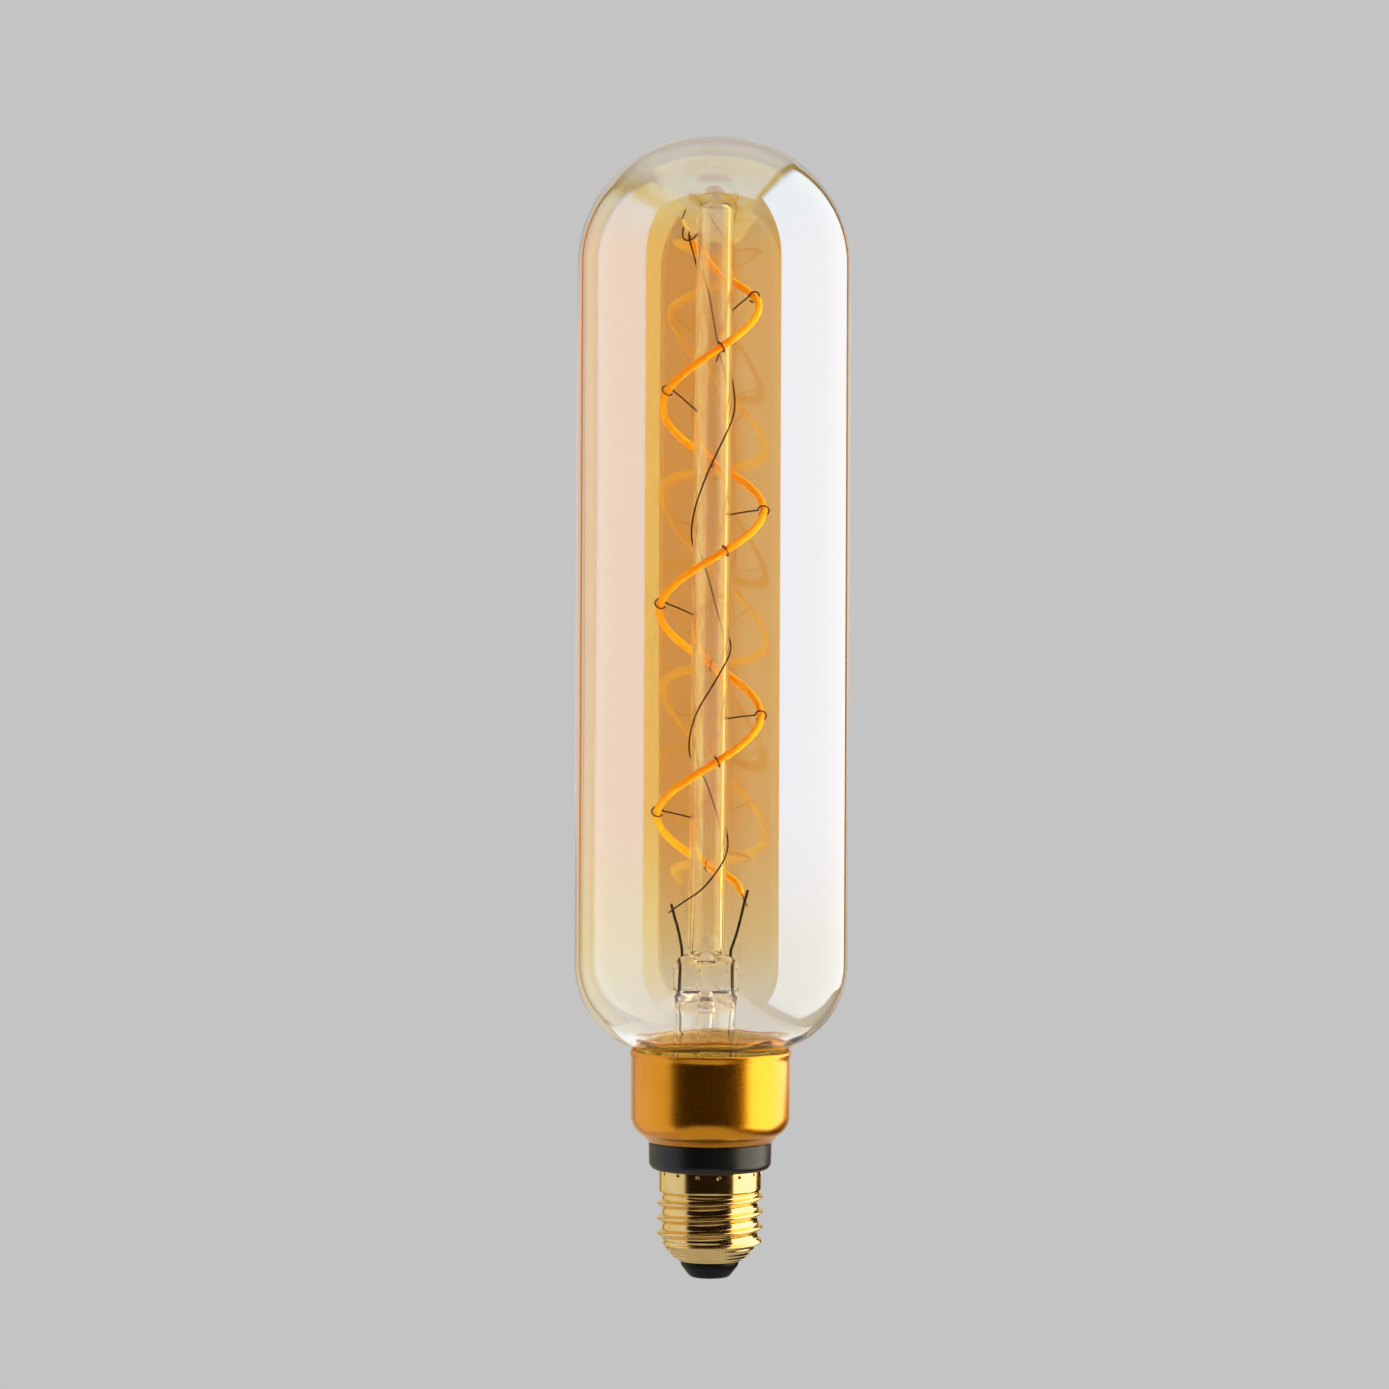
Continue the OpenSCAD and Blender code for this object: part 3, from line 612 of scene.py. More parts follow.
def oxidised_wire(name, dark, light):
    return mottled(name, [(900, 4, 0.65), (3500, 2, 0.5)], [(0.32, dark), (0.7, light)],
                   (0.3, 0.55), [(1, 0.2, 0.01)], Specular_IOR_Level=0.2)


def bright_metal(name, colour, roughness):
    return mottled(name, [(600, 4, 0.6), (3000, 2, 0.5)],
                   [(0.3, shaded(colour, 0.82)), (0.7, colour)],
                   (roughness * 0.8, roughness * 1.6), [(1, 0.1, 0.01)], Metallic=1.0)


def black_plastic(name, gloss):
    """Moulded black polymer: satin, with fine texture and faint mould lines round it."""
    return mottled(name, [(1800, 4, 0.6), (1500, 2, 0.5, (0.02, 0.02, 1))],
                   [(0.3, (0.0008, 0.0006, 0.0005)), (0.75, (0.0025, 0.002, 0.0018))],
                   (0.3, 0.42), [(1, 0.18, 0.02), (0, 0.12, 0.02)], rough_by=1,
                   IOR=1.5, Specular_IOR_Level=gloss)


def polished_brass():
    """Drawn and rolled brass shell: bright, with faint rolling lines and slight tarnish."""
    return mottled("polished_brass", [(160, 4, 0.6), (2600, 2, 0.5, (0.06, 0.06, 1))],
                   [(0.3, (0.84, 0.55, 0.19)), (0.7, (0.92, 0.64, 0.26))],
                   (0.14, 0.2), [(1, 0.05, 0.012), (0, 0.03, 0.1)], Metallic=1.0)


def golden_cement():
    """Golden basing cement, set in uneven runs round the neck."""
    return mottled("golden_cement", [(260, 3, 0.6, (0.5, 0.5, 4.5), 1.2)],
                   [(0.35, (0.34, 0.21, 0.012)), (0.5, (0.94, 0.72, 0.06)),
                    (0.66, (1.0, 0.97, 0.38))],
                   (0.25, 0.5), [(0, 0.8, 0.4)], Specular_IOR_Level=0.8)


def ferrule_ceramic():
    s = Shade("ferrule_ceramic", Roughness=0.4)
    grain = s.noise(2200, 4, 0.6)
    s.colour(s.ramp(grain, (0.3, (0.82, 0.78, 0.66)), (0.65, (0.93, 0.91, 0.84))))
    s.bump((grain, 0.3, 0.02))
    return s.owner


def gold_lacquer():
    """Spun, gold-lacquered collar: fine grain, faint spinning lines and a few scratches."""
    s = Shade("gold_lacquer", Metallic=1.0, Coat_Weight=0.4, Coat_Roughness=0.2)
    grain = s.noise(2400, 3, 0.65)
    cloud = s.noise(90, 3, 0.55)
    spin = s.noise(700, 2, 0.5, stretch=(0.03, 0.03, 1))
    scratch = s.noise(420, 2, 0.5, stretch=(1, 1, 0.12), distortion=0.6)
    tint = s.ramp(cloud, (0.3, (0.88, 0.31, 0.004)), (0.7, (0.92, 0.36, 0.008)))
    s.colour(s.blend(s.span(scratch, 0.72, 0.78), tint, (0.45, 0.16, 0.01)))
    s.roughness(grain, 0.25, 0.33, 0.25, 0.75)
    s.bump((spin, 0.1, 0.02), (grain, 0.05, 0.02), (cloud, 0.08, 0.15))
    return s.owner


def moulded(name, colour, roughness, scale, variation, weave=0):
    """Moulded, coated or sleeved part with slight mottling and grain, or a cloth's weave."""
    s = Shade(name)
    grain = s.noise(scale, 4, 0.6)
    s.colour(s.ramp(grain, (0.3, shaded(colour, 1 - variation)),
                    (0.7, shaded(colour, 1 + variation))))
    s.roughness(grain, roughness * 0.85, roughness * 1.2)
    layers = [(grain, 0.2, 0.02)]
    if weave:
        cloth = s.add("TexWave", {"Vector": s.source("TexCoord", "Object"), "Scale": weave},
                      wave_type="BANDS", bands_direction="X")
        layers.append((cloth.outputs["Fac"], 0.15, 0.02))
    s.bump(*layers)
    return s.owner


MATERIALS = {
    "lustre_glass": lustre_glass(),
    "inner_glass": inner_glass(),
    "clear_glass": stem_glass(),
    "phosphor": phosphor(),
    "dark_wire": oxidised_wire("dark_wire", (0.005, 0.0025, 0.0015), (0.02, 0.009, 0.005)),
    "dumet": oxidised_wire("dumet", (0.035, 0.010, 0.004), (0.10, 0.030, 0.012)),
    "copper": oxidised_wire("copper_lead", (0.008, 0.004, 0.003), (0.04, 0.016, 0.008)),
    "core": bright_metal("core_copper", (0.80, 0.47, 0.30), 0.3),
    "ceramic": ferrule_ceramic(),
    "gold": gold_lacquer(),
    "brass": polished_brass(),
    "black_plastic": black_plastic("black_plastic", 0.5),
    "black_insulator": black_plastic("black_insulator", 0.16),
    "nickel": bright_metal("nickel", (0.74, 0.72, 0.68), 0.18),
    "tin": bright_metal("tin_plate", (0.76, 0.76, 0.77), 0.26),
    "header_gold": bright_metal("header_gold", (0.9, 0.68, 0.26), 0.22),
    "enamelled": bright_metal("enamelled_copper", (0.72, 0.28, 0.12), 0.3),
    "cement": golden_cement(),
}
# Name, colour, roughness, scale of the grain, its variation and the weave of a cloth
for look in [
    ("board_green", (0.02, 0.14, 0.05), 0.35, 900, 0.2, 400),
    ("board_blue", (0.012, 0.03, 0.09), 0.35, 900, 0.2, 400),
    ("can_sleeve", (0.02, 0.022, 0.03), 0.22, 500, 0.2),
    ("ferrite", (0.05, 0.05, 0.052), 0.6, 1800, 0.3),
    ("chip_black", (0.018, 0.018, 0.018), 0.5, 2200, 0.35),
    ("resistor_body", (0.12, 0.26, 0.19), 0.5, 1200, 0.15),
    ("varistor_blue", (0.02, 0.07, 0.26), 0.3, 700, 0.15),
    ("red_insulation", (0.42, 0.02, 0.012), 0.32, 900, 0.12),
    ("blue_insulation", (0.015, 0.03, 0.24), 0.32, 900, 0.12),
    ("ceramic_chip", (0.36, 0.25, 0.14), 0.4, 1500, 0.15),
]:
    MATERIALS[look[0]] = moulded(*look)

# CAD nodes whose own shape stays
CARRIED_OVER = {
    "driver_board": "board_green",
    "bridge_rectifier": "chip_black", "bulk_capacitor": "can_sleeve",
    "power_inductor": "ferrite", "inductor_winding": "enamelled",
    "driver_chip": "chip_black", "fuse_resistor": "resistor_body",
    "chip_resistors": "chip_black", "chip_capacitors": "ceramic_chip",
    "live_wire": "red_insulation", "neutral_wire": "blue_insulation",
    "output_terminals": "nickel", "header_pins": "header_gold",
    "module_board": "board_blue", "module_shield": "tin", "module_antenna": "core",
    "module_crystal": "tin", "radio_chip": "chip_black", "surge_varistor": "varistor_blue",
}


def dress_cad_nodes():
    for name, key in CARRIED_OVER.items():
        slots = nodes[name].data.materials
        if not slots:
            slots.append(MATERIALS[key])
        for i in range(len(slots)):
            slots[i] = MATERIALS[key]


# ---- envelope

CROWN_Z = OVERALL_H - CROWN_R
CROWN_A = math.degrees(math.asin((GLASS_R - DOME_R) / (CROWN_R - DOME_R)))
DOME_Z = CROWN_Z + (CROWN_R - DOME_R) * math.cos(math.radians(CROWN_A))
BLEND_SPAN = SHOULDER_R + NECK_BLEND_R
BLEND_X = GLASS_R - SHOULDER_R + BLEND_SPAN * math.cos(math.radians(SHOULDER_SWEEP))
BLEND_Z = SHOULDER_TOP - BLEND_SPAN * math.sin(math.radians(SHOULDER_SWEEP))
NECK_R = BLEND_X - NECK_BLEND_R
# How much thicker the wall is where it was drawn into the neck, and between which heights
SWELL = 2.4
SWELL_TOP = 64
SWELL_SIDES_LOWER = 3.4
SWELL_RISE = 11
SWELL_FOOT = 46.5
SWELL_FOOT_RISE = 5
# Above the neck the inner skin is wavy and off the axis: start, end and how it eases there
INNER_SHIFT = 0.4
WAVY_START, WAVY_EASE_IN = 52, 16
WAVY_END, WAVY_EASE_OUT = OVERALL_H + 6, 30


def envelope_side(inset):
    """Outline from the neck up to the apex, moved inwards by inset."""
    tube = [(GLASS_R - inset, z) for z in np.linspace(SHOULDER_TOP, DOME_Z, 26)[1:-1]]
    return (arc(BLEND_X, BLEND_Z, NECK_BLEND_R + inset, 180, 180 - SHOULDER_SWEEP, 14)
            + arc(GLASS_R - SHOULDER_R, SHOULDER_TOP, SHOULDER_R - inset,
                  -SHOULDER_SWEEP, 0, 34)[1:]
            + tube
            + arc(GLASS_R - DOME_R, DOME_Z, DOME_R - inset, 0, 90 - CROWN_A, 56)
            + arc(0, CROWN_Z, CROWN_R - inset, 90 - CROWN_A, 90, 10)[1:])


def neck_swell(z, angles):
    """How much thicker than the bulb's wall the glass is where it was drawn into the neck.
    It was drawn unevenly, so the thick part starts lower at the two sides."""
    start = (SWELL_TOP - SWELL_SIDES_LOWER * np.cos(angles) ** 2
             + waves(angles, (0.35, 7, 0), (0.2, 12, 0)))
    return (SWELL * smooth((start - z) / SWELL_RISE)
            * smooth((z - SWELL_FOOT) / SWELL_FOOT_RISE))


def inner_ring(r, z, angles):
    """A ring of the inner skin, slightly wavy and off the axis above the neck."""
    ease = smooth((z - WAVY_START) / WAVY_EASE_IN) * smooth((WAVY_END - z) / WAVY_EASE_OUT)
    wave = waves(angles, (0.05, 2, z * 0.021), (0.03, 5, -z * 0.034))
    ring = circle(r - neck_swell(z, angles) + wave * ease, z, angles)
    ring[:, 0] += INNER_SHIFT * ease
    return ring


def envelope():
    """One wall: outer skin from the apex down, the neck's lip, and the inner skin back up."""
    around = 288
    angles = turn_angles(around)
    outer = envelope_side(0)[::-1]
    inner = envelope_side(GLASS_WALL)
    lip = [(NECK_R, NECK_BOTTOM + 0.4), (NECK_R - 0.4, NECK_BOTTOM), (LIP_R + 0.3, NECK_BOTTOM),
           (LIP_R, NECK_BOTTOM + 0.3), (LIP_R, NECK_BOTTOM + LIP_T - 0.3),
           (LIP_R + 0.3, NECK_BOTTOM + LIP_T), (NECK_R - GLASS_WALL - 0.6, NECK_BOTTOM + LIP_T)]
    skin = Skin()
    skin.rings([circle(r, z, angles) for r, z in outer[1:] + lip]
               + [inner_ring(r, z, angles) for r, z in inner[:-1]],
               [0, 0, outer[0][1]], [0, 0, inner[-1][1]])
    skin.flip()
    # Faces run down the outside and up the inside. The poles' fans, outer and inner, are last
    inside = (len(outer) - 2) * around
    fans = len(skin.faces) - 2 * around
    piece("glass_envelope_fine", skin, "lustre_glass", sharp=60,
          inner="inner_glass",
          inner_faces=[*range(inside, fans), *range(fans + around, len(skin.faces))])


# ---- glass mount

def flare_side(inset):
    """Flare tube's outline from the press down to the bell's edge."""
    return ([(FLARE_R - inset, z) for z in np.linspace(FLARE_TOP, BELL_TOP + 0.4, 10)]
            + arc(FLARE_R + BELL_R, BELL_TOP, BELL_R + inset, 182, 248, 24))


def oval(half_x, half_y, power, z, angles):
    """A superellipse ring."""
    c, s = np.cos(angles), np.sin(angles)
    x = half_x * np.sign(c) * np.abs(c) ** (2 / power)
    y = half_y * np.sign(s) * np.abs(s) ** (2 / power)
    return np.stack([x, y, np.full(len(angles), float(z))], 1)


def press_section(z):
    """Half width, half depth and squareness of the pinched glass at a height."""
    pinch = smooth((z - PRESS_BOTTOM + 1.2) / 4.8)
    half_x = FLARE_R + (PRESS_HALF - FLARE_R) * smooth((z - PRESS_BOTTOM) / 2.5)
    half_y = FLARE_R + (PRESS_FLAT - FLARE_R) * pinch
    power = 2 + 1.1 * pinch
    shoulder_z = PRESS_TOP - PRESS_SHOULDER
    if z > shoulder_z:
        drop = min(1.0, (z - shoulder_z) / PRESS_SHOULDER)
        half_x = PRESS_HALF - PRESS_SHOULDER + PRESS_SHOULDER * math.sqrt(1 - drop * drop)
        power = 3.1 - 1.1 * drop
    return half_x, half_y, power


def stem_outer(angles):
    """Rings of the mount's outer skin from the column's top down to the bell's edge."""
    cap_r = COLUMN_CAP_R
    shoulder_z = PRESS_TOP - PRESS_SHOULDER
    column = ([(1.2, COLUMN_TOP), (2.2, COLUMN_TOP)]
              + arc(COLUMN_R - cap_r, COLUMN_TOP - cap_r, cap_r, 88, 0, 12)
              + [(COLUMN_R, z)
                 for z in np.linspace(COLUMN_TOP - cap_r, PRESS_TOP + 1.2, 60)[1:]])
    rings = [circle(r, z, angles) for r, z in column]
    for z in [*np.linspace(PRESS_TOP + 0.8, shoulder_z, 26),
              *np.linspace(shoulder_z, PRESS_BOTTOM - 1.6, 22)[1:]]:
        half_x, half_y, power = press_section(z)
        root = smooth((z - PRESS_TOP + 3.2) / 3.2)
        half_x = max(half_x, COLUMN_R) if z < PRESS_TOP else COLUMN_R
        if COLUMN_R < half_x < COLUMN_R + PRESS_FILLET:
            half_x = COLUMN_R + (half_x - COLUMN_R) ** 2 / PRESS_FILLET
        half_y = half_y + (COLUMN_R - half_y) * root
        rings.append(oval(half_x, half_y, power, z, angles))
    return rings + [circle(r, z, angles) for r, z in flare_side(0)]


def stem_inner(angles):
    """Rings from the bell's edge up inside the flare, over and down the exhaust tube."""
    rings = [circle(r, z, angles) for r, z in flare_side(FLARE_WALL)[::-1]]
    inside = FLARE_R - FLARE_WALL
    for u in np.linspace(0, 1, 12)[1:]:
        z = FLARE_TOP + (ROOF_Z - FLARE_TOP) * math.sin(u * math.pi / 2)
        squeeze = 0.5 * smooth((z - FLARE_TOP) / 3.5)
        half_x = inside - ROOF_IN_X * u * u
        half_y = inside - (inside - ROOF_HALF_Y) * squeeze - ROOF_IN_Y * u * u
        rings.append(oval(half_x, half_y, 2 + 0.4 * squeeze, z, angles))
    half_x = inside - ROOF_IN_X
    half_y = (inside + ROOF_HALF_Y) / 2 - ROOF_IN_Y
    for u in np.linspace(0, 1, 9)[1:]:
        z = ROOF_Z + 0.1 * math.sin(math.pi * min(1, 2 * u)) - 1.7 * u * u
        w = smooth(u)
        rings.append(oval(half_x + (THROAT_R - half_x) * w, half_y + (THROAT_R - half_y) * w,
                          2.2, z, angles))
    tip = EXHAUST_TIP + EXHAUST_R
    tube = [(EXHAUST_R + (THROAT_R - EXHAUST_R) * smooth((z - 60) / 5.5), z)
            for z in np.linspace(64.8, tip + 0.4, 30)]
    return rings + [circle(r, z, angles) for r, z in tube + arc(0, tip, EXHAUST_R, 0, -78, 8)]


# Trapped bubbles of the press: x, y, z and radius in the stem's frame
BUBBLES = [
    (-2.9, -1.6, 70.2, 0.3), (-2.1, -1.9, 70.9, 0.42), (-1.5, -1.7, 70.1, 0.24),
    (-2.5, -1.4, 71.6, 0.2), (2.3, -1.8, 71.5, 0.26), (2.9, -2.0, 70.8, 0.4),
    (3.5, -1.5, 70.1, 0.34), (2.5, -1.5, 70.0, 0.28), (-7.0, -0.5, 77.0, 0.3),
    (-7.3, 0.4, 76.1, 0.26), (-6.8, -0.8, 75.4, 0.22), (-6.9, 0.9, 77.7, 0.2),
    (7.2, -0.5, 77.0, 0.24), (7.4, 0.3, 76.1, 0.2), (7.3, -0.6, 75.1, 0.26),
]


def glass_mount():
    """Column, press, flare and exhaust tube, which are fused into one piece of glass."""
    angles = turn_angles(96)
    edge = [circle(BELL_LIP_R, BELL_EDGE + 0.75, angles),
            circle(BELL_LIP_R + 0.05, BELL_EDGE + 0.3, angles),
            circle(BELL_LIP_R - 0.3, BELL_EDGE, angles)]
    skin = Skin()
    rings = [on_stem(r) for r in stem_outer(angles) + edge + stem_inner(angles)]
    skin.rings(rings, on_stem([0, 0, COLUMN_TOP]), on_stem([0, 0, EXHAUST_TIP]))
    skin.flip()
    # Hollow of the column
    first = len(skin.faces)
    cap_r = COLUMN_CAP_R
    bore_r = COLUMN_R - COLUMN_WALL
    meniscus = [(r, MENISCUS_Z - MENISCUS_DROP * (r / bore_r) ** 2)
                for r in (0, 0.8, 1.6, 2.3, 2.8, 3.15)]
    bore = (meniscus + [(bore_r, z) for z in np.linspace(77.8, COLUMN_TOP - cap_r - 0.2, 54)]
            + arc(bore_r - 0.9, COLUMN_TOP - cap_r, 0.9, 0, 85, 8)
            + [(1.2, COLUMN_TOP - COLUMN_END_T), (0, COLUMN_TOP - COLUMN_END_T)])
    lathe(skin, bore, 96, on_stem)
    # Bore of the exhaust tube, up into the press
    exhaust = ([(0, EXHAUST_TIP + 1.7)]
               + [(EXHAUST_BORE * math.sin(u), EXHAUST_TIP + 3.2 - 1.5 * math.cos(u))
                  for u in np.linspace(0.3, math.pi / 2, 6)]
               + [(EXHAUST_BORE, z) for z in np.linspace(50, 66, 16)]
               + [(EXHAUST_BORE + 0.2, 66.6), (EXHAUST_BORE + 0.45, 67.3),
                  (EXHAUST_BORE + 0.5, 68.2), (EXHAUST_BORE + 0.3, 68.9), (1.0, 69.25),
                  (0, 69.35)])
    lathe(skin, exhaust, 48, on_stem)
    # The vent from the bore out of the press's face, and a few trapped bubbles
    vent = spline([(-2.3, -1.5, 77.0), (-2.1, -2.0, 76.2), (-1.7, -2.5, 75.3),
                   (-1.45, -3.0, 74.7)], 4)
    wire(skin, [on_stem(q) for q in vent], 0.42, 20, ends=(1.0, 0.1))
    thread = spline([(5.0, -1.9, 78.0), (5.2, -2.0, 77.0), (4.9, -2.0, 76.2), (5.0, -2.1, 75.3),
                     (5.3, -2.0, 74.6)], 4)
    wire(skin, [on_stem(q) for q in thread], 0.13, 12)
    for x, y, z, r in BUBBLES:
        wire(skin, [on_stem((x, y, z - 0.1)), on_stem((x, y, z + 0.1))], r, 16)
    skin.flip(first)
    piece("stem_glass_fine", skin, "clear_glass",
          ["stem_flare", "stem_press", "stem_column", "exhaust_tube"], sharp=70)


# ---- leads and supports

SEAL_LEFT = [(-5.95, 0, 78.4), (-6.25, 0, 66.85)]
SEAL_RIGHT = [(6.0, 0, 78.4), (6.25, 0, 66.85)]
LEAD_LEFT_ROUTE = [
    (-5.95, 0, 78.45), (-6.0, 0, 79.8), (-6.4, 0, 82), (-7.1, 0, 85.1),
    (-7.8, 0, 87.4), (-8.4, 0, 89.6), (-8.7, 0, 90.7),
]
LEAD_RIGHT_ROUTE = [
    (6.0, 0, 78.45), (6.05, 0, 79.8), (6.7, 0, 81.8), (7.5, 0, 84.4),
    (8.4, 0, 88), (9.2, 0, 91.6), (9.6, 0, 93), (9.9, 0, 94.3),
]
OUTER_LEFT_ROUTE = [
    (-6.25, 0, 66.8), (-6.2, 0, 62), (-6.1, 0, 58.3), (-5.4, 0.3, 56.6),
    (-6.1, 0.2, 54.6), (-5.9, 0, 50), (-4.6, 0, 45.8), (-3.97, 0, 43), (-3.95, 0, 40.2),
]
OUTER_RIGHT_ROUTE = [
    (6.25, 0, 66.8), (6.1, 0, 62), (5.8, 0, 58.3), (5.7, 0.2, 54.6),
    (6, 0, 50), (6.8, 0, 45.8), (7.22, 0, 43), (7.25, 0, 40.2),
]
RETURN_ROUTE = [
    (160, 6.9, 255), (166, 6.6, 253.4), (166, 5.7, 250.4), (157, 5.0, 247),
    (112, 4.95, 240.2), (67, 4.95, 225.4), (25, 5.05, 218.8), (-4, 5.25, 212.5),
    (-54, 5.0, 204.9), (-95, 4.9, 197.6), (-135, 4.9, 189.5), (-180, 4.95, 181.5),
    (-247, 4.9, 172.9), (-289, 4.9, 163.4), (-330, 4.9, 156.6), (-400, 4.9, 150),
    (-449, 4.9, 143.4), (-490, 4.9, 137.6), (-545, 4.95, 128.8), (-615, 4.9, 121.2),
    (-665, 4.9, 112.6), (-720, 4.9, 106), (-780, 5.0, 99.5), (-824, 5.3, 94.9),
    (-873, 6.9, 91.3), (-896.2, 8.4, 89.6), (-896.5, 9.3, 88.9),
]
TOP_ANCHOR_ROUTE = [
    (-3.65, 1.35, 254.6), (-4.6, 1.75, 254.4), (-5.3, 1.6, 253.6), (-6.4, 1.0, 253.0),
    (-7.5, 1.2, 253.1), (-8.0, 1.7, 253.9), (-8.1, 2.0, 255.2), (-7.9, 1.9, 256.2),
]


def support_route(i):
    """Out from the column, then once round the filament."""
    t = SUPPORT_TURN[i]
    centre = helix_point(t)
    along = helix_tangent(t)
    radial = cylindrical([t, 1, 0])
    out = unit(np.cross(along, np.cross(radial, along)))
    up = np.cross(out, along)
    root = cylindrical([t, COLUMN_R - SUPPORT_ROOT, helix_height(t) - SUPPORT_RISE[i]])
    start = centre - EYELET_R * out
    stalk = [root + (start - root) * k / 4 for k in range(4)]
    bow = unit(np.cross(start - root, along)) * SUPPORT_BOW[i % 2]
    stalk = [q + bow * math.sin(math.pi * k / 4) for k, q in enumerate(stalk)]
    loop = []
    for k in range(EYELET_STEPS):
        a = math.radians(180 + EYELET_STEP * k)
        loop.append(centre + EYELET_R * (math.cos(a) * out + math.sin(a) * up)
                    + EYELET_PITCH * k * along)
    return stalk + loop


# Name, curve, radius, material, slot and sides of each wire of the mount
WIRES = [
    ("lead_wire_left", spline(LEAD_LEFT_ROUTE, 8), LEAD_R, "dark_wire", "dark_wire", 16),
    ("lead_wire_right", spline(LEAD_RIGHT_ROUTE, 8), LEAD_R, "dark_wire", "dark_wire", 16),
    ("dumet_seal_left", np.linspace(*SEAL_LEFT, 9), LEAD_R * 0.96, "dumet", "copper", 16),
    ("dumet_seal_right", np.linspace(*SEAL_RIGHT, 9), LEAD_R * 0.96, "dumet", "copper", 16),
    ("outer_lead_left", spline(OUTER_LEFT_ROUTE, 8), OUTER_LEAD_R, "copper", "copper"),
    ("outer_lead_right", spline(OUTER_RIGHT_ROUTE, 8), OUTER_LEAD_R, "copper", "copper"),
    ("return_wire", [cylindrical(q) for q in spline(RETURN_ROUTE, 10)], RETURN_R),
    ("top_anchor_wire", spline(TOP_ANCHOR_ROUTE, 6), SUPPORT_R),
]


def leads():
    for name, *look in WIRES:
        wire_piece(f"{name}_fine", *look)
    for i in range(len(SUPPORT_TURN)):
        wire_piece(f"support_wire_{i + 1}_fine", spline(support_route(i), 2), SUPPORT_R)


# ---- filament

def filament_route(step=2.5):
    count = round((HELIX_START - HELIX_END) / step)
    return np.array([helix_point(t) for t in np.linspace(HELIX_START, HELIX_END, count + 1)])


def filament():
    """Silicone coat with a flat channel, and the copper strip that lies in the channel."""
    sides = 20
    p = filament_route()
    t = tangents(p)
    n = outward_normals(p)
    s = np.arange(len(p))
    swell = 1 + waves(s, (0.02, 0.37, 0), (0.015, 0.113, 1))
    ends = np.minimum(1.0, 0.72 + 0.28 * smooth(np.minimum(s, s[::-1]) / 4))
    radius = COAT_R * swell * ends
    outer = tube_rings(p, t, n, radius * 0.97, radius * 0.98, sides)
    channel = tube_rings(p, t, n, CORE_T, CORE_W, sides)
    coat = Skin()
    coat.rings([on_stem(r) for r in outer + channel[::-1]], close=True)
    piece("filament_coat_fine", coat, "phosphor", sharp=50)
    core = Skin()
    strip = tube_rings(p, t, n, CORE_T - CORE_GAP, CORE_W - CORE_GAP, 12)
    core.rings([on_stem(r) for r in strip], on_stem(p[0]), on_stem(p[-1]))
    piece("filament_core_fine", core, "core", sharp=50)


def filament_ends():
    """The two tails, and the ferrule: a short sleeve with rounded ends round the top one."""
    first = helix_point(HELIX_START)
    last = helix_point(HELIX_END)
    low = first + (-0.25, 0.15, 1.1)
    high = first + (-1.95, 0.1, 5)
    top = [first + (-0.02, 0.1, 0.2), low - 0.06 * (high - low), low, high,
           high + (0, 0, 0.5), high + (0.6, 0, 2.3)]
    wire_piece("filament_tail_top_fine", spline(top, 4), TAIL_TOP_R)
    bottom = [last + 0.1 * helix_tangent(HELIX_END), last + (0.3, -1, -0.5),
              (9.1, 0.5, 92.1), (9.5, 0.52, 91.3), (9.9, 0.5, 90.6)]
    wire_piece("filament_tail_bottom_fine", spline(bottom, 6), TAIL_BOTTOM_R)
    axis = unit(high - low)
    side = unit(np.cross(axis, [0, 1, 0]))
    length = np.linalg.norm(high - low)
    outline = ([(0.15, 0.05), (0.28, 0.0), (0.37, 0.06)]
               + [(0.4, z) for z in np.linspace(0.2, length - 0.2, 8)]
               + [(0.37, length - 0.06), (0.28, length), (0.15, length - 0.05)])
    frame_of_sleeve = np.array([side, np.cross(axis, side), axis])
    skin = Skin()
    lathe(skin, outline, 24, lambda q: on_stem(low + np.asarray(q) @ frame_of_sleeve))
    piece("top_ferrule_fine", skin, "ceramic", sharp=50)


# ---- collar, housing and cap

def wavy_rings(outline, angles, start_z, over, lift, dent=0.0):
    """Rings of (r, z) points. From start_z up, a lift and a dent grow in over a height."""
    rings = []
    for r, z in outline:
        share = smooth((z - start_z) / over)
        ring = circle(r + share * dent, z, angles)
        ring[:, 2] += share * lift
        rings.append(ring)
    return rings


